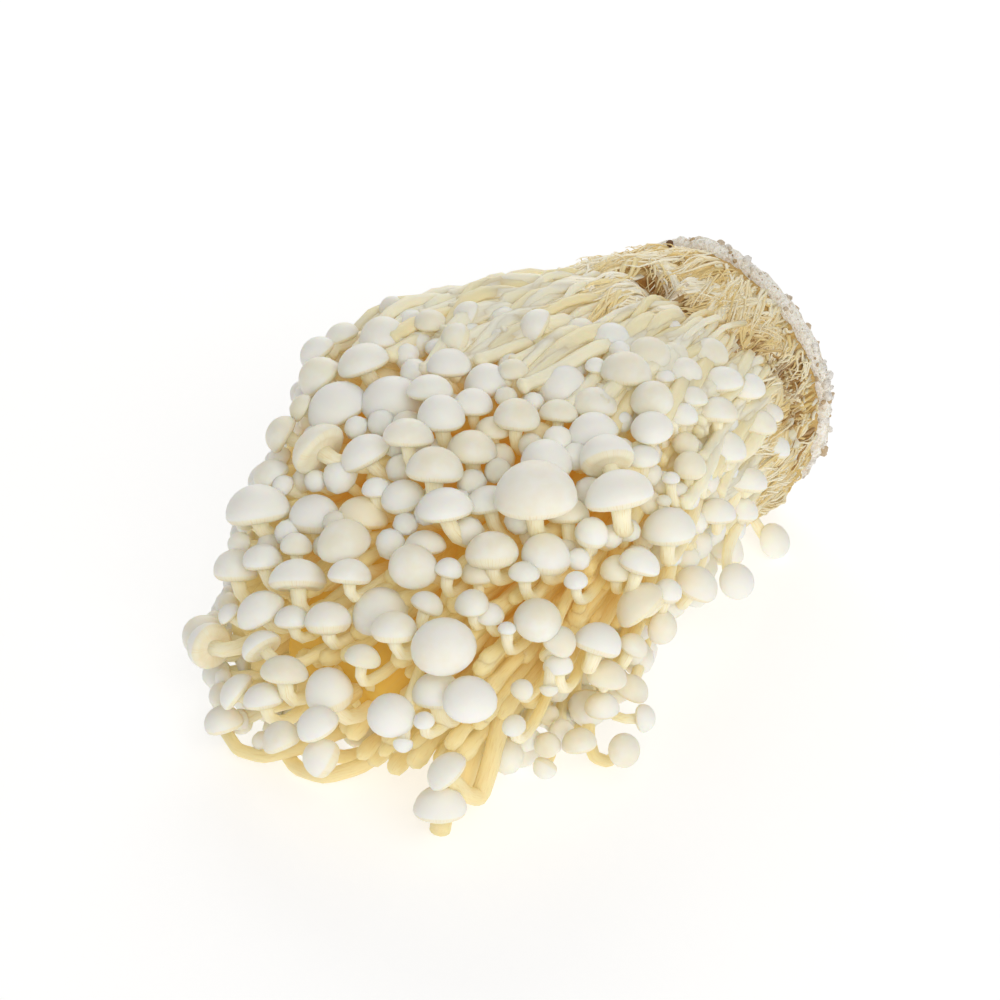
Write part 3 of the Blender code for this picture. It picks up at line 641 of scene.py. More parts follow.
def in_photo(point):
    """Column and row of a place in the photo, and how many of its pixels a millimetre takes there."""
    away = point - VIEWER
    pixels = FOCAL_PIXELS / -away.dot(TO_VIEWER)
    return PHOTO_MIDDLE + away.dot(VIEW_RIGHT) * pixels, PHOTO_MIDDLE - away.dot(VIEW_UP) * pixels, pixels


def inside_photo_outline(point, margin):
    """True where a place lies inside the bunch's outline in the photo by at least margin millimetres."""
    column, row, pixels = in_photo(point)
    inside = False
    for (c0, r0), (c1, r1) in zip(PHOTO_OUTLINE, PHOTO_OUTLINE[1:] + PHOTO_OUTLINE[:1]):
        across, down = c1 - c0, r1 - r0
        share = clamp(((column - c0) * across + (row - r0) * down) / (across ** 2 + down ** 2), 0, 1)
        if math.hypot(column - mix(c0, c1, share), row - mix(r0, r1, share)) < margin * pixels:
            return False
        if (r0 > row) != (r1 > row) and column < c0 + across * (row - r0) / down:
            inside = not inside
    return inside


def hidden_mushrooms(shown, draw):
    """Mushrooms on the sides that the photo hides, by a seeded rule that keeps them apart."""
    placed = []
    for _ in range(HIDDEN_TRIES):
        if len(placed) == HIDDEN_CAPS:
            break
        x = mix(*HIDDEN_X, math.sqrt(draw.random()))
        point = outline_point(x, draw.uniform(0, 2 * math.pi), HIDDEN_DEPTH)
        away = outward(point)
        cap_radius = draw.uniform(*HIDDEN_CAP_RADII)
        point.z = max(point.z, cap_radius * HIDDEN_REST)
        if away.dot(TO_VIEWER) > HIDDEN_FACING or not inside_photo_outline(point, cap_radius * HIDDEN_REST):
            continue
        if any((point - near.middle).length < HIDDEN_APART * (cap_radius + near.cap_radius)
               for near in shown + placed):
            continue
        change = Vector([draw.uniform(-HIDDEN_AXIS_CHANGE, HIDDEN_AXIS_CHANGE) for _ in range(3)])
        placed.append(Mushroom(point, away * 0.5 + HIDDEN_AXIS + change, cap_radius, draw))
    return placed


def sink_between(mushrooms, fixed):
    """Caps read from the photo that lie behind others move away from the viewer until they are clear."""
    for mushroom in mushrooms:
        for _ in range(BETWEEN_STEPS):
            reach = mushroom.cap_radius
            if all((mushroom.middle - near.middle).length > BETWEEN_APART * (reach + near.cap_radius)
                   for near in fixed if near is not mushroom):
                break
            if mushroom.middle.z < reach:
                break
            mushroom.middle += mushroom.sight * BETWEEN_STEP
        fixed.append(mushroom)


def filler_mushrooms(grown, draw):
    """Small mushrooms that fill the gaps all over the bunch, some on its outline and most below it."""
    places = [near.middle for near in grown]
    radii = [near.cap_radius for near in grown]
    fillers = []
    for layer in LAYERS:
        wanted = len(fillers) + layer.count
        for _ in range(FILLER_TRIES):
            if len(fillers) == wanted:
                break
            x = mix(*FILLER_X, draw.random())
            turn = draw.uniform(0, 2 * math.pi)
            point = outline_point(x, turn, layer.level * draw.uniform(0.97, 1.02))
            cap_radius = draw.uniform(*layer.radii)
            if point.z < cap_radius or x < root_front(point.y, point.z) + cap_radius + 2:
                continue
            if on_bare_stems(point) or not inside_photo_outline(point, cap_radius + 1.0):
                continue
            away = outward(point)
            crowded = layer.level > OUTER_LEVEL or in_photo(point)[1] > CROWDED_ROWS
            if crowded and away.dot(TO_VIEWER) > FILLER_FACING:
                continue
            apart = np.linalg.norm(np.array(places) - np.array(point), axis=1)
            if (apart - FILLER_APART * np.array(radii)).min() < FILLER_APART * cap_radius:
                continue
            change = Vector([draw.uniform(-FILLER_AXIS_CHANGE, FILLER_AXIS_CHANGE) for _ in range(3)])
            places.append(point)
            radii.append(cap_radius)
            axis = away * FILLER_OUTWARD + FILLER_AXIS + change
            fillers.append(Mushroom(point, axis, cap_radius, draw))
    return fillers


def shade_caps(mushrooms):
    """Tells each mushroom how far others overshadow it: 0 in the open, 1 and more deep in the crowd."""
    tips = np.array([near.middle + near.axis * near.cap_radius for near in mushrooms])
    radii = np.array([near.cap_radius for near in mushrooms])
    full = 1 - depth_of(tips)
    for number, mushroom in enumerate(mushrooms):
        apart = np.linalg.norm(tips - tips[number], axis=1)
        close = np.clip(SHADE_REACH - apart / (radii + radii[number]), 0, 1)
        above = np.clip((full - full[number]) / SHADE_STEP, 0, 1)
        crowd = float((close * above).sum())
        mushroom.shade = crowd * SHADE_OF_CROWD + max(0.0, 1.0 - full[number]) * SHADE_OF_DEPTH


def on_bare_stems(point):
    """True on the upper far side near the root, where the photo shows stems with no caps."""
    reach = BARE_SIDE_X + BARE_SIDE_X_OF_Y * min(point.y, 0)
    near_side = BARE_SIDE_Y + BARE_SIDE_Y_OF_X * point.x
    return point.x < reach and point.y < near_side and point.z > BARE_SIDE_HEIGHT


# Working with Blender's mesh tools

def start_modelling(add, name, **settings):
    """New primitive, alone selected, named, and in edit mode with nothing selected in it."""
    bpy.ops.object.select_all(action="DESELECT")
    add(**settings)
    thing = bpy.context.object
    thing.name = name
    thing.data.name = name
    bpy.ops.object.mode_set(mode="EDIT")
    bpy.ops.mesh.select_mode(type="VERT")
    bpy.ops.mesh.select_all(action="DESELECT")
    return thing


def pick(thing, wanted):
    """Selects the vertices whose place answers to wanted."""
    mesh = bmesh.from_edit_mesh(thing.data)
    for vert in mesh.verts:
        vert.select = wanted(vert.co)
    mesh.select_flush(True)
    bmesh.update_edit_mesh(thing.data)


def stop_modelling(thing):
    """Back to object mode, smooth, with the attribute that the finishes read."""
    bpy.ops.object.mode_set(mode="OBJECT")
    bpy.ops.object.shade_smooth()
    # values the finishes read: painted shade by depth or crowding, with tone and other values
    thing.data.attributes.new("shade_and_tone", "FLOAT_VECTOR", "POINT")
    thing.data.attributes.new("grain", "FLOAT_VECTOR", "POINT")
    thing.select_set(False)
    return thing


def places_of(thing):
    """The places of a mesh's vertices, one a row."""
    co = np.empty(len(thing.data.vertices) * 3, dtype=np.float32)
    thing.data.vertices.foreach_get("co", co)
    return co.reshape(-1, 3).astype(float)


def tube_master(name, sides, rings):
    """Tube of radius 1 and length 1 along Z, grown ring by ring from a filled circle."""
    thing = start_modelling(bpy.ops.mesh.primitive_circle_add, name, vertices=sides, radius=1,
                            fill_type="TRIFAN")
    bpy.ops.mesh.select_all(action="SELECT")
    for _ in range(rings):
        bpy.ops.mesh.extrude_region_move(TRANSFORM_OT_translate={"value": (0, 0, 1 / rings)})
    bpy.ops.mesh.select_all(action="SELECT")
    bpy.ops.mesh.normals_make_consistent(inside=False)
    return stop_modelling(thing)


def cap_master(name, segments, rings, dome, under, hollow):
    """Cap of radius 1 round its rim at Z 0: a dome, and an underside that turns in to the stem."""
    thing = start_modelling(bpy.ops.mesh.primitive_uv_sphere_add, name, segments=segments,
                            ring_count=rings, radius=1)
    pick(thing, lambda co: co.z > 0.01)
    bpy.ops.transform.resize(value=(1, 1, dome), center_override=(0, 0, 0))
    pick(thing, lambda co: co.z < -0.01)
    bpy.ops.transform.resize(value=(0.97, 0.97, under), center_override=(0, 0, 0))
    pick(thing, lambda co: co.z < -0.01 and co.xy.length < 0.75)
    bpy.ops.transform.translate(value=(0, 0, hollow))
    bpy.ops.mesh.select_all(action="SELECT")
    bpy.ops.mesh.vertices_smooth(factor=0.5, repeat=1)
    return stop_modelling(thing)


def reshape(piece, points, shade_and_tone=None, grain=None):
    """Moves a piece's vertices to points, and gives it its values for the finishes."""
    piece.data.vertices.foreach_set("co", (points * MM).astype(np.float32).ravel())
    for name, values in (("shade_and_tone", shade_and_tone), ("grain", grain)):
        if values is not None:
            piece.data.attributes[name].data.foreach_set("vector", values.astype(np.float32).ravel())


def place_copy(master, points, shade_and_tone, grain=None):
    """Copy of a master, with its own mesh, reshaped."""
    copy = master.copy()
    copy.data = master.data.copy()
    bpy.context.scene.collection.objects.link(copy)
    reshape(copy, points, shade_and_tone, grain)
    return copy


def join_copies(copies, name):
    """One piece of many copies."""
    bpy.ops.object.select_all(action="DESELECT")
    for copy in copies:
        copy.select_set(True)
    bpy.context.view_layer.objects.active = copies[0]
    bpy.ops.object.join()
    piece = bpy.context.object
    piece.name = name
    piece.data.name = name
    piece.select_set(False)
    return piece


def finish_piece(piece, material, node):
    """The piece gets its finish, rides on the bunch and stands for its node."""
    piece.data.materials.clear()
    piece.data.materials.append(material)
    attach(piece, "root")
    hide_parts(node)


def route_frames(points):
    """Two directions across a line of points, carried along it without twisting."""
    ahead = np.gradient(points, axis=0)
    ahead /= np.linalg.norm(ahead, axis=1)[:, None]
    side = np.cross(ahead[0], (0.3, 0.2, 1.0))
    sides = []
    for direction in ahead:
        side = side - direction * side.dot(direction)
        side = side / np.linalg.norm(side)
        sides.append(side)
    sides = np.array(sides)
    return sides, np.cross(ahead, sides)


def cubic(route, t):
    """Points of a cubic at shares t of its way, one a row."""
    a, b, c, d = (np.array(point) for point in route)
    t = np.asarray(t)[:, None]
    s = 1 - t
    return a * s ** 3 + b * 3 * s * s * t + c * 3 * s * t * t + d * t ** 3


def bend_tube(master, line, radii, tone, ends_at_cap=True):
    """Copy of a tube master along a line of points, as thick at each as radii says."""
    shape = places_of(master)
    rings = len(line) - 1
    level = np.rint(shape[:, 2] * rings).astype(int)
    side, up = route_frames(line)
    radius = np.asarray(radii)[level][:, None]
    points = line[level] + radius * (side[level] * shape[:, :1] + up[level] * shape[:, 1:2])
    steps = np.linalg.norm(np.diff(line, axis=0), axis=1)
    from_root = np.concatenate(([0.0], np.cumsum(steps)))
    from_cap = from_root[-1] - from_root if ends_at_cap else np.full(len(line), FAR_FROM_CAP)
    points[:, 2] = np.maximum(points[:, 2], TABLE_GAP)
    # depth in the bunch, which the stem finish paints as amber shade
    depth = depth_of(points)
    shade_and_tone = np.stack([depth, from_cap[level], np.full(len(points), tone)], axis=1)
    grain = np.stack([shape[:, 0] + tone * GRAIN_SHIFT, shape[:, 1], from_root[level] * GRAIN_ALONG], axis=1)
    return place_copy(master, points, shade_and_tone, grain)


def stem_copy(master, mushroom, draw, rings):
    """Stem of a mushroom: a little thicker at its foot, with slow waves and a flare under the cap.

    It leaves the cap straight, but bends back sooner where it would swing out of the bunch.
    """
    t = np.linspace(0, 1, rings + 1)
    foot, lead, _, end = mushroom.route()
    reach = (end - foot).length
    bend = min(reach * STEM_BEND_SHARE, draw.uniform(*STEM_BENDS))
    while (end.x < STEM_BEND_TO_X and bend > STEM_BEND_LEAST
           and fullness(end - mushroom.axis * bend) > STEM_BEND_FULLEST):
        bend -= 1
    line = cubic((foot, lead, end - mushroom.axis * bend, end), t)
    phase = draw.uniform(0, 6)
    sway = np.sin(t * draw.uniform(5, 9) + phase) * np.sin(np.pi * t) * min(1.2, reach * 0.02)
    side, up = route_frames(line)
    line = line + side * sway[:, None] + up * (sway * draw.uniform(-0.7, 0.7))[:, None]
    waist = 1 + 0.08 * np.sin(t * 11 + phase)
    flare = 1 + 0.16 * np.exp(-((1 - t) * reach / 2.0) ** 2) + 0.2 * (1 - t) ** 2
    return bend_tube(master, line, mushroom.stem_radius * STEM_SLIMMER * waist * flare, draw.random())


def cap_copy(master, mushroom, draw):
    """Cap of a mushroom, never quite round, a little lopsided and wavy at its rim."""
    shape = places_of(master)
    around = np.arctan2(shape[:, 1], shape[:, 0])
    rim = np.linalg.norm(shape[:, :2], axis=1)
    phase = [draw.uniform(0, 6.3) for _ in range(3)]
    oval = 1 + rim * (draw.uniform(0.0, 0.06) * np.cos(2 * around + phase[0])
                      + draw.uniform(0.0, 0.025) * np.cos(3 * around + phase[1]))
    droop = draw.uniform(0.0, 0.10) * rim ** 2 * np.cos(around + phase[2])
    height = shape[:, 2] * (mushroom.dome / MASTER_DOME) + CAP_RAISED - droop
    side = mushroom.axis.orthogonal().normalized()
    up = mushroom.axis.cross(side)
    radius = mushroom.cap_radius * CAP_FULLER
    points = (np.array(mushroom.middle - mushroom.axis * radius * CAP_SUNK)
              + radius * ((shape[:, 0] * oval)[:, None] * np.array(side)
                          + (shape[:, 1] * oval)[:, None] * np.array(up)
                          + height[:, None] * np.array(mushroom.axis)))
    points[:, 2] = np.maximum(points[:, 2], TABLE_GAP)
    # the cap's painted shade, from its crowd and its depth
    depth = np.full(len(points), mushroom.shade)
    # top against underside; the finish paints the underside cream, partly as shade under the cap
    topside = np.clip(shape[:, 2] / 0.12 + 0.75, 0, 1)
    shade_and_tone = np.stack([depth, topside, np.full(len(points), draw.random())], axis=1)
    return place_copy(master, points, shade_and_tone, shape)


def point_seen(spot, height):
    """Point at a height over the table that the photo shows at a spot."""
    sight = VIEW_RIGHT * (spot.column - PHOTO_MIDDLE) - VIEW_UP * (spot.row - PHOTO_MIDDLE)
    sight = (sight / FOCAL_PIXELS - TO_VIEWER).normalized()
    return VIEWER + sight * ((height - VIEWER.z) / sight.z)


def has_low_stem(mushroom):
    """True if one of the low stems meets this mushroom's cap."""
    seat = mushroom.middle - mushroom.axis * mushroom.cap_radius * LOW_STEM_SEAT
    starts = (point_seen(spot, seat.z) for stem in LOW_STEMS for spot in stem.spots[:2])
    reach = mushroom.cap_radius * LOW_STEM_REACH
    return seat.z < LOW_STEM_SEAT_HEIGHT and any((start - seat).length < reach for start in starts)


def grow_mushrooms(mushrooms, cap_masters, stem_master, rings, draw, name, finishes):
    """Caps and stems of these mushrooms, as two pieces."""
    caps = []
    stems = []
    for mushroom in mushrooms:
        domed, broad, button = cap_masters
        choice = draw.random()
        small_master = button if choice < BUTTON_SHARE else domed
        master = broad if mushroom.cap_radius > BROAD_CAP_RADIUS else small_master
        caps.append(cap_copy(master, mushroom, draw))
        if not has_low_stem(mushroom):
            stems.append(stem_copy(stem_master, mushroom, draw, rings))
    finish_piece(join_copies(caps, f"{name}_caps"), finishes["cap"], "mushrooms")
    finish_piece(join_copies(stems, f"{name}_stems"), finishes["stem"], "mushrooms")


def bud_profile(rings):
    """Where the rings of a budded stem come along it, and how thick it is at each: a pinhead at the end."""
    along = np.append(np.linspace(0, 0.93, rings - 2), (0.965, 0.99, 1.0))
    thick = np.append(np.linspace(1.15, 0.95, rings - 2), (1.25, 1.05, 0.35))
    return along, thick


def pack_stems(stem_master, rings, draw, finishes):
    """Stems packed side by side inside the bunch, each with a pinhead end, which show between the caps."""
    copies = []
    along, thick = bud_profile(rings)
    for number in range(PACKED_COUNT):
        share = math.sqrt((number + 0.5) / PACKED_COUNT)
        turn = number * GOLDEN_ANGLE
        start = Vector((0, math.cos(turn) * share * ROOT_RADIUS * PACKED_SPREAD,
                        ROOT_MIDDLE + math.sin(turn) * share * ROOT_RADIUS * PACKED_SPREAD))
        start.x = root_front(start.y, start.z) - 2
        ends = PACKED_INNER_X if share < PACKED_INNER_SHARE else PACKED_OUTER_X
        end_x = mix(*ends, draw.random())
        fullest = mix(0.88, 0.76, clamp((end_x - 45) / 30, 0, 1))
        level = clamp(share * draw.uniform(0.86, 0.98), 0.05, fullest)
        end = outline_point(end_x, turn + draw.uniform(-0.2, 0.2), level)
        end.z = max(end.z, PACKED_LEAST_HEIGHT)
        lead = Vector(((end - start).length * 0.4, 0, 0))
        toward = Vector([draw.uniform(-0.3, 0.3) for _ in range(3)])
        route = (start, start + lead, end - lead * 0.6 - (outward(end) + toward) * 6, end)
        line = cubic(route, along)
        radii = draw.uniform(*PACKED_THICKNESS) * thick
        copies.append(bend_tube(stem_master, line, radii, draw.random(), ends_at_cap=False))
    finish_piece(join_copies(copies, "packed_stems"), finishes["stem"], "mushrooms")


def bare_stem(stem_master, turn, level, start_x, end_x, thickness, rings, draw):
    """A stem that lies along the outline of the bunch from the root, winding, with a pinhead end."""
    drift = draw.uniform(-0.14, 0.14)
    winding = draw.uniform(0.2, 1.1)
    phase = draw.uniform(0, 6)
    along, thick = bud_profile(rings)
    line = []
    for t in along:
        x = mix(start_x, end_x, t)
        level_here = level - hollow_depth(turn + drift * t, x) * 0.9 / ROOT_RADIUS
        dip = level_here - 0.05 * t ** 3 - 0.12 * (1 - t) ** 4 + 0.02 * math.sin(6 * t + phase)
        line.append(outline_point(x, turn + drift * t, dip))
    line = np.array(line)
    line[:, 2] = np.maximum(line[:, 2], thickness)
    side, _ = route_frames(line)
    wave = winding * np.sin(along * draw.uniform(4, 8) + phase)
    line += side * wave[:, None]
    return bend_tube(stem_master, line, thickness * thick, draw.random(), ends_at_cap=False)


def lay_bare_stems(stem_master, rings, draw, finishes):
    """Stems on the outside of the bunch next to the root, winding over each other and merging with it."""
    copies = []
    for _ in range(BARE_COUNT):
        turn = draw.uniform(0, 2 * math.pi)
        top = max(0.0, math.sin(turn))
        start_x = front_at(turn)
        begin = draw.uniform(BARE_BEGIN, 4 + 18 * top)
        length = mix(*BARE_LENGTHS, draw.random())
        thickness = mix(0.6, 1.7, clamp((begin - BARE_BEGIN) / 14, 0, 1)) * draw.uniform(0.75, 1.15)
        hollows_met = max(hollow_depth(turn, start_x + begin + ahead) for ahead in (0, 4, 8, 12))
        if hollows_met > draw.uniform(1.2, 3.4):
            continue
        copies.append(bare_stem(stem_master, turn, draw.uniform(*BARE_LEVELS), start_x + begin,
                                start_x + begin + length, thickness, rings, draw))
    finish_piece(join_copies(copies, "bare_stems"), finishes["bare"], "mushrooms")


def lay_low_stems(stem_master, rings, draw, finishes):
    """Long stems in full view below the caps, each through its spots in the photo."""
    copies = []
    for stem in LOW_STEMS:
        last = len(stem.spots) - 1
        heights = [mix(stem.low, stem.high, (k / last) ** 2) for k in range(last + 1)]
        if stem.hangs_from:
            heights[:2] = stem.hangs_from, mix(stem.hangs_from, stem.low, 0.6)
        marks = np.array([point_seen(spot, height) for spot, height in zip(stem.spots, heights)])
        steps = np.linspace(0, last, rings * 3 + 1)
        line = np.stack([np.interp(steps, range(last + 1), marks[:, axis]) for axis in range(3)], axis=1)
        eased = np.pad(line, ((3, 3), (0, 0)), mode="reflect", reflect_type="odd")
        eased = np.stack([np.convolve(eased[:, axis], LOW_STEM_EASING, mode="valid")
                          for axis in range(3)], axis=1)
        radii = stem.radius * np.linspace(0.92, 1.1, rings + 1)
        copies.append(bend_tube(stem_master, eased[::3], radii, draw.random(), ends_at_cap=False))
    finish_piece(join_copies(copies, "low_stems"), finishes["stem"], "mushrooms")


def shaped_tube(name, sides, rings, place_shade_and_tone, stretch=(1, 1, 1)):
    """Tube whose vertices go where the given function says, with the values of painted shade and tone that
    it gives.

    It is asked with the turn of a vertex, how far it lies from the tube's middle line and how far along.
    """
    tube = tube_master(name, sides, rings)
    shape = places_of(tube)
    points = np.empty_like(shape)
    shade_and_tone = np.empty_like(shape)
    for k, (c, s, level) in enumerate(shape):
        points[k], shade_and_tone[k] = place_shade_and_tone(math.atan2(s, c), math.hypot(c, s), level)
    reshape(tube, points, shade_and_tone, shape * stretch)
    return tube


def bed_place(turn, inner, level):
    """Place on the bed of stems: ridged along X, run in at its front."""
    x = mix(*BED_X, level)
    ridge = noise.fractal(Vector((math.cos(turn) * 11, math.sin(turn) * 11, x * 0.035)), 0.6, 2.1, 3)
    sink = 0.12 * (1 - level) ** 3 + 0.05 * level + 0.14 * level ** 4
    sink += hollow_depth(turn, x) * 1.4 / ROOT_RADIUS
    place = outline_point(x, turn, inner * (BED_LEVEL - sink + 0.024 * ridge))
    # painted shade: deeper in the grooves between the ridges and in the hollows
    depth = 0.10 - 0.12 * ridge + hollow_depth(turn, x) * 0.09
    return (x, place.y, max(place.z, BED_LEAST_HEIGHT)), (depth, FAR_FROM_CAP, 0.5)


def core_place(turn, inner, level):
    """Place on the core of the bunch, which narrows toward its tip."""
    x = mix(*CORE_X, level)
    place = outline_point(x, turn, mix(*CORE_LEVELS, level) * inner)
    return (x, place.y, max(place.z, CORE_LEAST_HEIGHT)), (CORE_DEPTH, FAR_FROM_CAP, 0.5)


def build_packed_middle(finishes):
    """Bed of stems grown into each other under the bare stems, with painted shade in its grooves and
    hollows, and a core painted in amber shade where stems are packed.
    """
    bed = shaped_tube("stem_bed", BED_SIDES, BED_RINGS, bed_place, stretch=(9, 9, 1.2))
    finish_piece(bed, finishes["bare"], "mushrooms")
    core = shaped_tube("stem_core", CORE_SIDES, CORE_RINGS, core_place)
    finish_piece(core, finishes["stem"], "mushrooms")


# Root and crust

# Hollows in the root's matted side: where each lies round the root and along X, its size and depth
Hollow = namedtuple("Hollow", "turn x across along depth")
HOLLOWS = (
    Hollow(turn=1.55, x=13.5, across=0.17, along=3.6, depth=6.0),
    Hollow(turn=1.20, x=12.5, across=0.10, along=3.0, depth=4.5),
    Hollow(turn=0.97, x=7.5, across=0.07, along=2.5, depth=3.0),
    Hollow(turn=0.80, x=4.5, across=0.08, along=3.2, depth=4.5),
    Hollow(turn=0.66, x=1.0, across=0.06, along=2.5, depth=3.0),
    Hollow(turn=0.50, x=-1.0, across=0.07, along=2.6, depth=4.0),
    Hollow(turn=0.30, x=0.0, across=0.06, along=2.0, depth=3.0),
    Hollow(turn=0.13, x=0.5, across=0.07, along=2.4, depth=3.5),
    Hollow(turn=-0.05, x=-2.0, across=0.07, along=2.0, depth=2.5),
    Hollow(turn=3.10, x=3.0, across=0.12, along=2.5, depth=3.0),
    Hollow(turn=3.90, x=1.0, across=0.14, along=2.5, depth=2.6),
)


def hollow_depth(turn, x):
    """How deep a hollow lies under the root's side at a place."""
    depth = 0.0
    for hollow in HOLLOWS:
        off = math.remainder(turn - hollow.turn, 2 * math.pi) / hollow.across
        depth += hollow.depth * math.exp(-off * off - ((x - hollow.x) / hollow.along) ** 2)
    return depth


def root_surface(turn, x):
    """Point on the root's matted side, ridged along X, with its hollows."""
    ridge = noise.fractal(Vector((math.cos(turn) * 9, math.sin(turn) * 9, x * 0.06)), 0.6, 2.2, 4)
    clump = noise.noise(Vector((math.cos(turn) * 2.5, math.sin(turn) * 2.5, x * 0.1 + 5)))
    radius = ROOT_RADIUS - SKIN_INSET + root_swell(turn, x) + ridge * 0.9 + clump - hollow_depth(turn, x)
    y, z = radius * math.cos(turn), ROOT_MIDDLE + radius * math.sin(turn)
    return Vector((x, y, max(z, 0.0)))


def skin_place(turn, inner, level):
    """Place on the skin of the root, which closes behind and runs in under the stems."""
    x = mix(ROOT_BACK, front_at(turn) + 2, level)
    place = root_surface(turn, x)
    inner = inner * SKIN_SHARE
    droop = 1 - 0.10 * max(0.0, (level - 0.85) / 0.15) ** 2
    # how far into a hollow, which the root finish paints in amber shade
    hollow = clamp(hollow_depth(turn, x) / FULL_HOLLOW, 0, 1)
    z = ROOT_MIDDLE + (place.z - ROOT_MIDDLE) * inner * droop
    return (x, place.y * inner * droop, z), (hollow, level, 0.5)


def build_root(finishes):
    """Skin of the root mass under its fibres."""
    skin = shaped_tube("root_mass_skin", SKIN_SIDES, SKIN_RINGS, skin_place)
    finish_piece(skin, finishes["root"], "root_mass")


def fibre_copy(master, turn, x, length, drift, lift, thickness, rings, tone, draw):
    """One fibre along the root's side: it leaves the surface by lift and tapers to its end."""
    line = []
    wander = draw.uniform(-0.03, 0.03)
    phase = draw.uniform(0, 6)
    for t in np.linspace(0, 1, rings + 1):
        a = turn + drift * t + wander * math.sin(t * 6 + phase)
        place = root_surface(a, x + length * t)
        out = Vector((0, math.cos(a), math.sin(a)))
        line.append(place + out * (thickness * 0.5 + 0.15 - 0.9 * (1 - t) ** 4 + lift * t * (1.6 - t)))
    line = np.array(line)
    line[:, 2] = np.maximum(line[:, 2], 0.2)
    radii = thickness * np.linspace(1, 0.3, rings + 1)
    copy = bend_tube(master, line, radii, tone, ends_at_cap=False)
    count = len(master.data.vertices)
    # how far over a hollow, which the fibre finish paints as shade
    hollow = clamp(hollow_depth(turn, x + length * 0.5) / FULL_HOLLOW, 0, 1)
    shade_and_tone = np.stack([np.full(count, hollow), np.full(count, clamp((x - ROOT_BACK) / 26, 0, 1)),
                       np.full(count, tone)], axis=1)
    copy.data.attributes["shade_and_tone"].data.foreach_set("vector", shade_and_tone.astype(np.float32).ravel())
    return copy


def lay_fibres(draw, finishes):
    """Locks of fibres combed all round the root from the crust toward the caps, and loose whiskers."""
    rings = FIBRE_RINGS
    master = tube_master("fibre", FIBRE_SIDES, rings)
    copies = []
    for _ in range(LOCK_COUNT):
        turn = draw.uniform(0, 2 * math.pi)
        front = front_at(turn)
        x = mix(ROOT_BACK + 0.3, front + 2, draw.random() ** 1.4)
        forward = clamp((x - ROOT_BACK) / 24, 0, 1)
        lean = draw.uniform(-0.2, 0.2)
        length = draw.uniform(*LOCK_LENGTHS)
        if hollow_depth(turn, x + length * 0.5) > draw.uniform(1.2, 3.0):
            length = draw.uniform(*LOCK_LENGTHS_AT_HOLLOWS)
        lift = draw.uniform(-0.2, 1.5) + (1.5 if x > front - 7 else 0)
        tone = draw.random()
        coarse = mix(*LOCK_THICKNESS, forward) * draw.uniform(0.7, 1.5)
        for _ in range(draw.randint(*LOCK_FIBRES)):
            spread = draw.gauss(0, LOCK_SPREAD)
            copies.append(fibre_copy(master, turn + spread, x + draw.uniform(-1.5, 1.5),
                                     length * draw.uniform(0.7, 1.15),
                                     lean - spread * draw.uniform(0.2, 1.0),
                                     lift + draw.uniform(-0.4, 0.5), coarse * draw.uniform(0.7, 1.35), rings,
                                     clamp(tone + draw.uniform(-0.25, 0.25), 0, 1), draw))
    finish_piece(join_copies(copies, "root_fibres"), finishes["fibre"], "root_mass")
    whiskers = []
    for _ in range(WHISKER_COUNT):
        turn = draw.uniform(1.6, 2.8) if draw.random() < 0.5 else draw.uniform(0, 2 * math.pi)
        x = draw.uniform(-6, 18)
        whiskers.append(fibre_copy(master, turn, x, draw.uniform(2, 6), draw.uniform(-0.1, 0.1),
                                   draw.uniform(1.5, 3.6), WHISKER_THICKNESS, rings, draw.random(), draw))
    finish_piece(join_copies(whiskers, "root_whiskers"), finishes["fibre"], "root_mass")
    bpy.data.objects.remove(master)
    pinheads = []
    rings = PINHEAD_RINGS
    master = tube_master("pinhead", PINHEAD_SIDES, rings)
    along, thick = bud_profile(rings)
    for _ in range(PINHEAD_COUNT):
        turn = draw.gauss(0.3, 0.75)
        front = front_at(turn)
        x = mix(ROOT_BACK + 1, front + 1, draw.random())
        foot = root_surface(turn, x)
        out = Vector((draw.uniform(1.5, 4.0), math.cos(turn), math.sin(turn))).normalized()
        lean = Vector([draw.uniform(-0.4, 0.4) for _ in range(3)])
        length = draw.uniform(1.2, 3.2)
        tip = foot + (out + lean) * length
        line = cubic((foot - out * 0.8, foot + out * length * 0.3, tip - lean * length * 0.5, tip), along)
        line[:, 2] = np.maximum(line[:, 2], 0.4)
        pinheads.append(bend_tube(master, line, draw.uniform(0.22, 0.42) * thick, draw.random(),
                                  ends_at_cap=False))
    finish_piece(join_copies(pinheads, "root_pinheads"), finishes["bare"], "root_mass")
    bpy.data.objects.remove(master)


def crust_surface(direction):
    """Point of the crust in a direction from its middle: a thick disc with a rounded, crumbly rim."""
    middle_x = (CRUST_BACK + CRUST_FRONT) / 2
    half = (CRUST_FRONT - CRUST_BACK) / 2
    along = abs(direction.x) / half
    across = math.hypot(direction.y, direction.z) / ROOT_RADIUS
    reach = (along ** 5 + across ** 5) ** (-1 / 5)
    place = Vector((direction.x * reach, direction.y * reach, direction.z * reach))
    lump = noise.fractal(place * 0.22, 0.7, 2.1, 4) * 0.9
    clod = noise.cell(place * 0.35) * 0.35
    turn = math.atan2(place.z, place.y)
    grow = 1 + (lump + clod - 0.9 + root_swell(turn, CRUST_BACK)) / ROOT_RADIUS
    front_flat = clamp((half - place.x) / 1.5, 0.0, 1.0)
    place = Vector((place.x + (lump * 0.4) * front_flat, place.y * grow, place.z * grow))
    return Vector((middle_x + place.x, place.y, max(ROOT_MIDDLE + place.z, 0.0)))


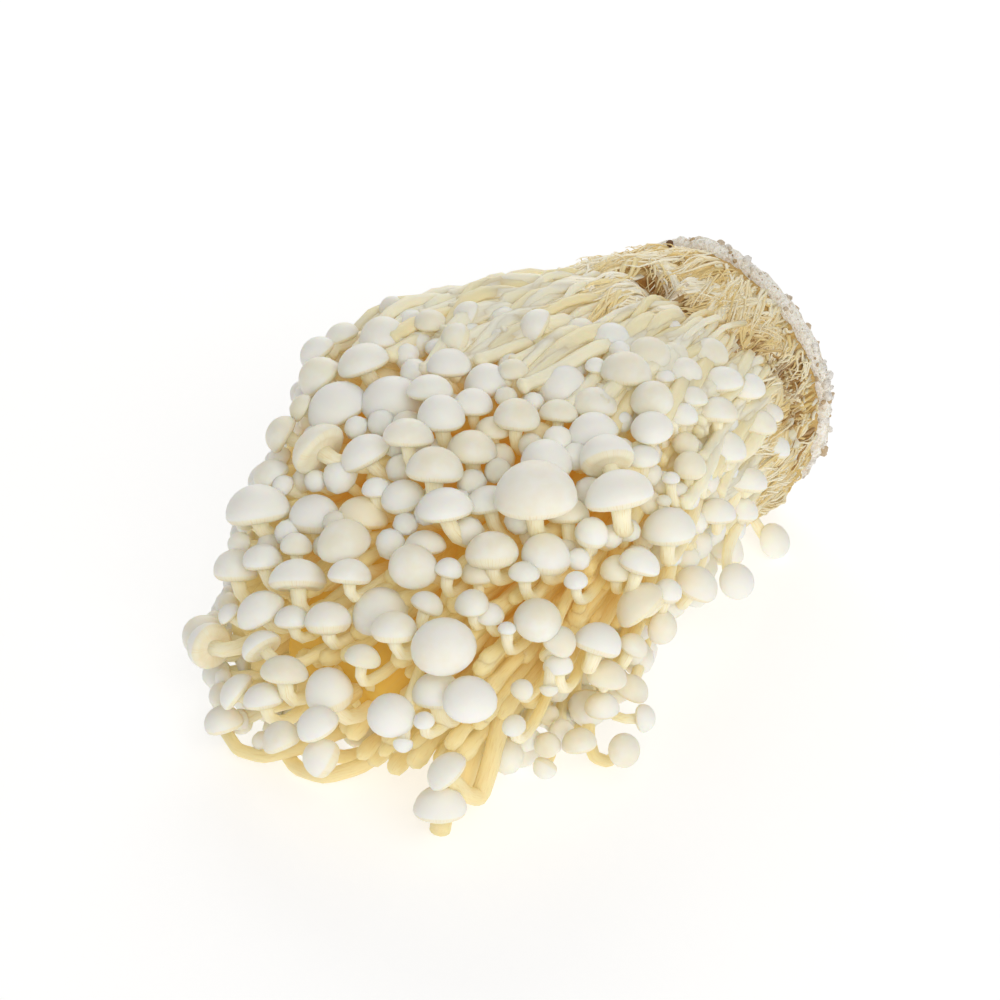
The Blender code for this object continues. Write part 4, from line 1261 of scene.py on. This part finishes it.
def build_crust(draw, finishes):
    """Cake of growing medium behind the root, and the crumbs that stick to it."""
    crust = start_modelling(bpy.ops.mesh.primitive_uv_sphere_add, "crust_cake", segments=180,
                            ring_count=110, radius=1)
    bpy.ops.mesh.select_all(action="SELECT")
    bpy.ops.transform.rotate(value=math.pi / 2, orient_axis="Y", center_override=(0, 0, 0))
    crust = stop_modelling(crust)
    shape = places_of(crust)
    points = np.array([crust_surface(Vector(row)) for row in shape])
    reshape(crust, points)
    finish_piece(crust, finishes["crust"], "substrate_crust")
    crumb = start_modelling(bpy.ops.mesh.primitive_uv_sphere_add, "crumb", segments=7, ring_count=5,
                            radius=1)
    bpy.ops.mesh.select_all(action="SELECT")
    bpy.ops.transform.vertex_random(offset=0.22, seed=4)
    crumb = stop_modelling(crumb)
    shape = places_of(crumb)
    copies = []
    for _ in range(CRUMB_COUNT):
        turn = draw.uniform(0, 2 * math.pi)
        edge = draw.random() < 0.7
        lean = draw.uniform(-0.55, 0.95) if edge else draw.uniform(0.9, 2.6)
        direction = Vector((-math.sin(lean) * 0.34, math.cos(turn) * math.cos(lean),
                            math.sin(turn) * math.cos(lean)))
        if not edge:
            direction = Vector((-0.5, draw.uniform(-1, 1), draw.uniform(-1, 1)))
        place = crust_surface(direction.normalized())
        size = mix(*CRUMB_SIZES, draw.random() ** 2.2)
        stretch = np.array([draw.uniform(0.6, 1.2) for _ in range(3)])
        points = np.array(place) + shape * size * stretch
        points[:, 2] = np.maximum(points[:, 2], 0.02)
        tone = np.full(len(points), draw.random())
        copies.append(place_copy(crumb, points, np.stack([tone, tone, tone], axis=1), shape))
    finish_piece(join_copies(copies, "crust_crumbs"), finishes["crumb"], "substrate_crust")
    bpy.data.objects.remove(crumb)


# Finishes

def colour(red, green, blue):
    """A colour given as it looks, 0 to 255, in the linear values that shaders take."""
    parts = (value / 255 for value in (red, green, blue))
    return tuple(p / 12.92 if p <= 0.04045 else ((p + 0.055) / 1.055) ** 2.4 for p in parts) + (1.0,)


class Value:
    """A shader socket: arithmetic with it adds Math nodes."""

    def __init__(self, finish, node, output):
        self.finish = finish
        self.node = node
        self.socket = node.outputs[output]

    def out(self, output):
        return Value(self.finish, self.node, output)

    def math(self, operation, first, second=0.0):
        return self.finish.node("ShaderNodeMath", {"operation": operation}, {0: first, 1: second})

    def __add__(self, other):
        return self.math("ADD", self, other)

    __radd__ = __add__

    def __sub__(self, other):
        return self.math("SUBTRACT", self, other)

    def __rsub__(self, other):
        return self.math("SUBTRACT", other, self)

    def __mul__(self, other):
        return self.math("MULTIPLY", self, other)

    __rmul__ = __mul__

    def span(self, low, high):
        """0 at low and below, 1 at high and above, smooth between."""
        return self.finish.node("ShaderNodeMapRange", {"interpolation_type": "SMOOTHSTEP"},
                                {"Value": self, "From Min": low, "From Max": high})


class Finish:
    """A material in the making round its Principled shader."""

    def __init__(self, name, **constants):
        self.material = bpy.data.materials.new(name)
        self.material.use_nodes = True
        self.tree = self.material.node_tree
        self.shader = self.tree.nodes["Principled BSDF"]
        self.set(self.shader, {key.replace("_", " "): value for key, value in constants.items()})

    def set(self, node, values):
        for key, value in values.items():
            if isinstance(value, Value):
                self.tree.links.new(value.socket, node.inputs[key])
            else:
                node.inputs[key].default_value = value

    def node(self, kind, settings=None, values=None, output=0):
        node = self.tree.nodes.new(kind)
        for key, value in (settings or {}).items():
            setattr(node, key, value)
        self.set(node, values or {})
        return Value(self, node, output)

    def show(self, shown, roughness, glow=None):
        """The colour and roughness of the shader, and the colour of the faint glow it gives off if it has
        one, though it is no lamp: painted light on the flesh, root and crust, an even brightness on the
        table.
        """
        self.set(self.shader, {"Base Color": shown, "Roughness": roughness})
        if glow is not None:
            self.set(self.shader, {"Emission Color": glow})

    def blend(self, first, second, share):
        """Colour between two, by share."""
        return self.node("ShaderNodeMix", {"data_type": "RGBA"}, {0: share, 6: first, 7: second}, output=2)

    def attribute(self, name):
        return self.node("ShaderNodeAttribute", {"attribute_name": name}, output="Vector")

    def parts(self, vector):
        split = self.node("ShaderNodeSeparateXYZ", {}, {0: vector})
        return split, split.out("Y"), split.out("Z")

    def object_place(self):
        return self.node("ShaderNodeTexCoord", {}, output="Object")

    def noise(self, place, scale, detail=3.0, roughness=0.55):
        return self.node("ShaderNodeTexNoise", {}, {"Vector": place, "Scale": scale, "Detail": detail,
                                                    "Roughness": roughness})

    def bump(self, height, strength, distance):
        self.set(self.shader, {"Normal": self.node("ShaderNodeBump", {}, {
            "Height": height, "Strength": strength, "Distance": distance})})


def cap_finish():
    """Satin white cap, cream below with fine gills, the cream partly painted shade under the cap; painted
    cream-gold shade all over where others crowd it or it sits deep in the bunch, and a painted glow.
    """
    finish = Finish("satin_cap", Subsurface_Weight=0.4, Subsurface_Radius=(1.0, 0.66, 0.36),
                    Subsurface_Scale=0.0036, IOR=1.38, Specular_IOR_Level=0.3, Emission_Strength=0.14)
    depth, topside, tone = finish.parts(finish.attribute("shade_and_tone"))
    place = finish.object_place()
    cloud = finish.noise(place, 160.0)
    # painted shade of crowded and deep caps, in cloudy patches
    crowd_shade = (depth + cloud * 0.3 - 0.15).span(0.15, 1.2)
    top = finish.blend(colour(248, 247, 240), colour(245, 230, 188), crowd_shade)
    top = finish.blend(top, colour(242, 236, 216), (tone * cloud).span(0.15, 0.6))
    shape = finish.attribute("grain")
    flat = finish.node("ShaderNodeVectorMath", {"operation": "MULTIPLY"}, {0: shape, 1: (1, 1, 0)}, "Vector")
    round_cap = finish.node("ShaderNodeVectorMath", {"operation": "NORMALIZE"}, {0: flat}, "Vector")
    gills = finish.noise(round_cap, 22.0, 2.0)
    # underside cream, partly its own tone and partly painted shade under the cap, more golden with the
    # painted crowd shade
    under = finish.blend(colour(247, 240, 216), colour(244, 220, 156), crowd_shade)
    under = finish.blend(under, colour(230, 202, 142), gills.span(0.45, 0.65) * 0.25)
    shown = finish.blend(under, top, topside.span(0.1, 0.9))
    # painted glow, dim on open caps and golden on crowded ones, standing in for light passing through the
    # bunch
    glow = finish.blend(colour(84, 80, 68), colour(226, 198, 136), crowd_shade)
    finish.show(shown, 0.44 + cloud * 0.12, glow)
    relief = finish.noise(place, 1400.0, 2.0) * 0.3 + gills * (1 - topside) * 0.4
    finish.bump(relief, 0.35, 0.0003)
    return finish.material


def stem_finish():
    """Stem: cream below the cap, golden further down, painted amber shade in the depth of the bunch, faintly
    striped, and a painted golden glow.
    """
    finish = Finish("stem_flesh", Subsurface_Weight=0.45, Subsurface_Radius=(1.0, 0.8, 0.4),
                    Subsurface_Scale=0.003, IOR=1.38, Specular_IOR_Level=0.35, Emission_Strength=0.15)
    depth, from_cap, tone = finish.parts(finish.attribute("shade_and_tone"))
    streaks = finish.noise(finish.attribute("grain"), 7.0, 4.0)
    down = from_cap.span(1.0, 16.0)
    along, _, _ = finish.parts(finish.object_place())
    grown = finish.blend(colour(248, 240, 214), colour(239, 223, 174), along.span(0.030, 0.065))
    fresh = finish.blend(colour(245, 239, 214), grown, down)
    # painted amber shade, by depth in the bunch
    deep = (depth + streaks * 0.08 + tone * 0.05).span(0.16, 0.5)
    depth_shaded = finish.blend(fresh, colour(228, 186, 86), deep)
    striped = finish.blend(depth_shaded, colour(220, 188, 116), streaks.span(0.48, 0.8) * 0.55)
    # painted glow standing in for light passing through the bunch, more amber in the depth
    glow = finish.blend(colour(206, 186, 130), colour(220, 176, 78), deep)
    finish.show(striped, 0.42 + streaks * 0.2, glow)
    finish.bump(streaks, 0.25, 0.0004)
    return finish.material


def bare_stem_finish():
    """Stems next to the root: cream white, melting into each other, with painted tan shade in the creases,
    painted dark shade deeper in, and a painted glow.
    """
    finish = Finish("bare_stem_flesh", Subsurface_Weight=0.45, Subsurface_Radius=(1.0, 0.65, 0.35),
                    Subsurface_Scale=0.0036, IOR=1.38, Specular_IOR_Level=0.3, Emission_Strength=0.08)
    depth, _, tone = finish.parts(finish.attribute("shade_and_tone"))
    streaks = finish.noise(finish.attribute("grain"), 6.0, 4.0)
    light = finish.blend(colour(248, 241, 218), colour(241, 226, 184), tone.span(0.2, 1.0))
    # painted shade in the creases between the stems
    crease = (depth + streaks * 0.1).span(0.10, 0.30)
    shown = finish.blend(light, colour(222, 190, 122), crease)
    # painted dark shade deeper in
    shown = finish.blend(shown, colour(164, 120, 56), depth.span(0.32, 0.6) * 0.85)
    # painted glow, golden in the creases and dim deeper in
    glow = finish.blend(colour(235, 222, 180), colour(238, 200, 118), crease)
    glow = finish.blend(glow, colour(90, 62, 26), depth.span(0.32, 0.6))
    finish.show(shown, 0.45 + streaks * 0.2, glow)
    finish.bump(streaks, 0.35, 0.0005)
    return finish.material


def root_finish():
    """Matted root: tan near the crust, cream in front, darker than its fibres partly as painted shade
    between them, painted amber shade in its hollows, and a painted glow of its own colour.
    """
    finish = Finish("matted_root", Subsurface_Weight=0.15, Subsurface_Radius=(1.0, 0.55, 0.25),
                    Subsurface_Scale=0.002, Emission_Strength=0.06)
    hollow, forward, _ = finish.parts(finish.attribute("shade_and_tone"))
    place = finish.object_place()
    mapped = finish.node("ShaderNodeMapping", {}, {"Vector": place, "Scale": (0.16, 1.0, 1.0)})
    streaks = finish.noise(mapped, 1500.0, 4.0, 0.6)
    light = finish.blend(colour(208, 172, 104), colour(228, 204, 146), forward.span(0.05, 0.7))
    # painted amber shade in the hollows
    shown = finish.blend(light, colour(142, 94, 32), hollow.span(0.15, 0.7))
    shown = finish.blend(shown, colour(166, 118, 50), streaks.span(0.45, 0.75) * 0.7)
    # the third colour is a painted glow
    finish.show(shown, 0.62 + streaks * 0.2, shown)
    finish.bump(streaks, 0.7, 0.0009)
    return finish.material


def fibre_finish():
    """Single fibres: from cream white to golden tan, with painted shade where they lie over hollows, and a
    painted glow of their own colour.
    """
    finish = Finish("root_fibre", Subsurface_Weight=0.2, Subsurface_Radius=(1.0, 0.6, 0.3),
                    Subsurface_Scale=0.0018, Emission_Strength=0.10)
    hollow, forward, tone = finish.parts(finish.attribute("shade_and_tone"))
    tan = finish.blend(colour(248, 239, 210), colour(231, 203, 138), tone.span(0.1, 0.9))
    cream = finish.blend(colour(249, 242, 220), colour(242, 222, 168), tone.span(0.1, 0.9))
    shown = finish.blend(tan, cream, forward.span(0.1, 0.6))
    # painted shade over the hollows
    shown = finish.blend(shown, colour(156, 110, 44), hollow.span(0.2, 0.8) * 0.9)
    # the third colour is a painted glow
    finish.show(shown, 0.5 + tone * 0.2, shown)
    return finish.material


def crust_finish():
    """Growing medium: grey brown, with white felt in patches and dark specks, and a painted glow of its own
    colour.
    """
    finish = Finish("growing_medium_crust", Subsurface_Weight=0.05, Subsurface_Scale=0.001,
                    Emission_Strength=0.14)
    place = finish.object_place()
    patches = finish.noise(place, 190.0, 5.0, 0.65)
    grit = finish.noise(place, 1500.0, 3.0)
    specks = finish.node("ShaderNodeTexVoronoi", {}, {"Vector": place, "Scale": 700.0}, output="Distance")
    soil = finish.blend(colour(226, 210, 182), colour(182, 150, 116), grit.span(0.4, 0.7))
    felt = finish.blend(colour(251, 248, 240), colour(234, 225, 206), grit.span(0.4, 0.7))
    shown = finish.blend(soil, felt, patches.span(0.30, 0.46))
    shown = finish.blend(shown, colour(134, 98, 62), (1 - specks).span(0.78, 0.93) * patches.span(0.4, 0.6))
    # the third colour is a painted glow
    finish.show(shown, 0.85 + grit * 0.1, shown)
    finish.bump(grit + patches * 2.0, 0.8, 0.0012)
    return finish.material


def crumb_finish():
    """Crumbs of the growing medium, each of its own tone."""
    finish = Finish("growing_medium_crumb")
    tone, _, _ = finish.parts(finish.attribute("shade_and_tone"))
    grit = finish.noise(finish.object_place(), 2600.0, 3.0)
    shown = finish.blend(colour(246, 243, 237), colour(206, 180, 142), tone.span(0.35, 0.8))
    shown = finish.blend(shown, colour(116, 80, 50), tone.span(0.9, 0.99))
    shown = finish.blend(shown, colour(150, 120, 86), grit.span(0.5, 0.75) * 0.5)
    finish.show(shown, 0.8 + grit * 0.15)
    finish.bump(grit, 0.7, 0.0005)
    return finish.material


# Camera, light and table

SURROUND_TINT = (1.0, 0.99, 0.975)
SURROUND_STRENGTH = 0.38
FRONT_LIGHT_AWAY = 0.75
FRONT_LIGHT_SIZE = 0.6
FRONT_LIGHT_POWER = 2.5
BACK_LIGHT_AWAY = 0.8
BACK_LIGHT_RISE = 0.42
BACK_LIGHT_SIZE = 0.7
BACK_LIGHT_POWER = 2.9
BACK_LIGHT_TINT = (1.0, 0.99, 0.97)
TABLE_SIZE = 6.0
TABLE_TONE = 0.56
TABLE_GLOW = 0.58


def set_camera():
    """Camera at the viewer's place, with the field of view that the caps were read with."""
    camera_data = bpy.data.cameras.new("camera")
    camera_data.sensor_width = SENSOR
    camera_data.lens = FOCAL_PIXELS * SENSOR / (2 * PHOTO_MIDDLE)
    camera_data.clip_start = 0.01
    camera = bpy.data.objects.new("camera", camera_data)
    camera.location = VIEWER * MM
    camera.rotation_euler = TO_VIEWER.to_track_quat("Z", "Y").to_euler()
    bpy.context.scene.collection.objects.link(camera)
    bpy.context.scene.camera = camera


def add_light(name, place, aim, size, power, tint):
    """Round area light at a place that shines toward another."""
    data = bpy.data.lights.new(name, "AREA")
    data.shape = "DISK"
    data.size = size
    data.energy = power
    data.color = tint
    light = bpy.data.objects.new(name, data)
    light.location = place
    light.rotation_euler = (place - aim).to_track_quat("Z", "Y").to_euler()
    bpy.context.scene.collection.objects.link(light)


def set_studio():
    """White table under a wide soft light, in an even white surround."""
    world = bpy.data.worlds.new("white surround")
    world.use_nodes = True
    surround = world.node_tree.nodes["Background"].inputs
    surround["Color"].default_value = SURROUND_TINT + (1,)
    surround["Strength"].default_value = SURROUND_STRENGTH
    bpy.context.scene.world = world
    middle = VIEW_AIM * MM
    beside_viewer = middle + (TO_VIEWER + VIEW_UP * 0.05 + VIEW_RIGHT * 0.25) * FRONT_LIGHT_AWAY
    add_light("front softbox", beside_viewer, middle, FRONT_LIGHT_SIZE, FRONT_LIGHT_POWER, SURROUND_TINT)
    behind = middle + Vector((-TO_VIEWER.x, -TO_VIEWER.y, BACK_LIGHT_RISE)).normalized() * BACK_LIGHT_AWAY
    add_light("back softbox", behind, middle, BACK_LIGHT_SIZE, BACK_LIGHT_POWER, BACK_LIGHT_TINT)
    bpy.ops.object.select_all(action="DESELECT")
    bpy.ops.mesh.primitive_plane_add(size=TABLE_SIZE, location=(0, 0, 0))
    table = bpy.context.object
    table.name = "table"
    finish = Finish("white_table", Specular_IOR_Level=0.0, Emission_Strength=TABLE_GLOW)
    finish.show((TABLE_TONE, TABLE_TONE, TABLE_TONE, 1), 0.7, (1, 1, 1, 1))
    table.data.materials.append(finish.material)
    bpy.context.scene.view_settings.view_transform = "Standard"


# Making the bunch

FINISHES = {"cap": cap_finish(), "stem": stem_finish(), "bare": bare_stem_finish(), "root": root_finish(),
            "fibre": fibre_finish(), "crust": crust_finish(), "crumb": crumb_finish()}


def make_bunch():
    """The whole bunch: mushrooms from the photo, those that fill it, then its stems, root and crust."""
    draw = random.Random(MUSHROOM_SEED)
    shown = [photo_mushroom(cap, draw) for cap in PHOTO_CAPS]
    spread_along_sight(shown)
    hidden = hidden_mushrooms(shown, draw)
    large = shown + hidden
    draw = random.Random(BETWEEN_SEED)
    between = [photo_mushroom(cap, draw) for cap in CAPS_BETWEEN]
    sink_between(between, list(large))
    fillers = filler_mushrooms(large + between, draw)
    shade_caps(large + between + fillers)

    fine_caps = (
        cap_master("domed_cap", segments=20, rings=14, dome=0.98, under=0.42, hollow=0.16),
        cap_master("broad_cap", segments=24, rings=14, dome=0.92, under=0.38, hollow=0.16),
        cap_master("button_cap", segments=20, rings=14, dome=1.04, under=0.72, hollow=0.10),
    )
    small_caps = (
        cap_master("small_domed_cap", segments=10, rings=6, dome=0.98, under=0.45, hollow=0.08),
        cap_master("small_broad_cap", segments=10, rings=6, dome=0.92, under=0.40, hollow=0.08),
        cap_master("small_button_cap", segments=10, rings=6, dome=1.04, under=0.75, hollow=0.05),
    )
    fine_stem = tube_master("fine_stem", 12, FINE_RINGS)
    plain_stem = tube_master("plain_stem", 6, PLAIN_RINGS)
    grow_mushrooms(large + between, fine_caps, fine_stem, FINE_RINGS, draw, "large", FINISHES)
    grow_mushrooms(fillers, small_caps, plain_stem, PLAIN_RINGS, draw, "small", FINISHES)
    pack_stems(plain_stem, PLAIN_RINGS, draw, FINISHES)
    lay_bare_stems(plain_stem, PLAIN_RINGS, draw, FINISHES)
    lay_low_stems(fine_stem, FINE_RINGS, draw, FINISHES)
    for master in fine_caps + small_caps + (fine_stem, plain_stem):
        bpy.data.objects.remove(master)
    build_packed_middle(FINISHES)
    build_root(FINISHES)
    lay_fibres(draw, FINISHES)
    build_crust(draw, FINISHES)


set_camera()
set_studio()
make_bunch()
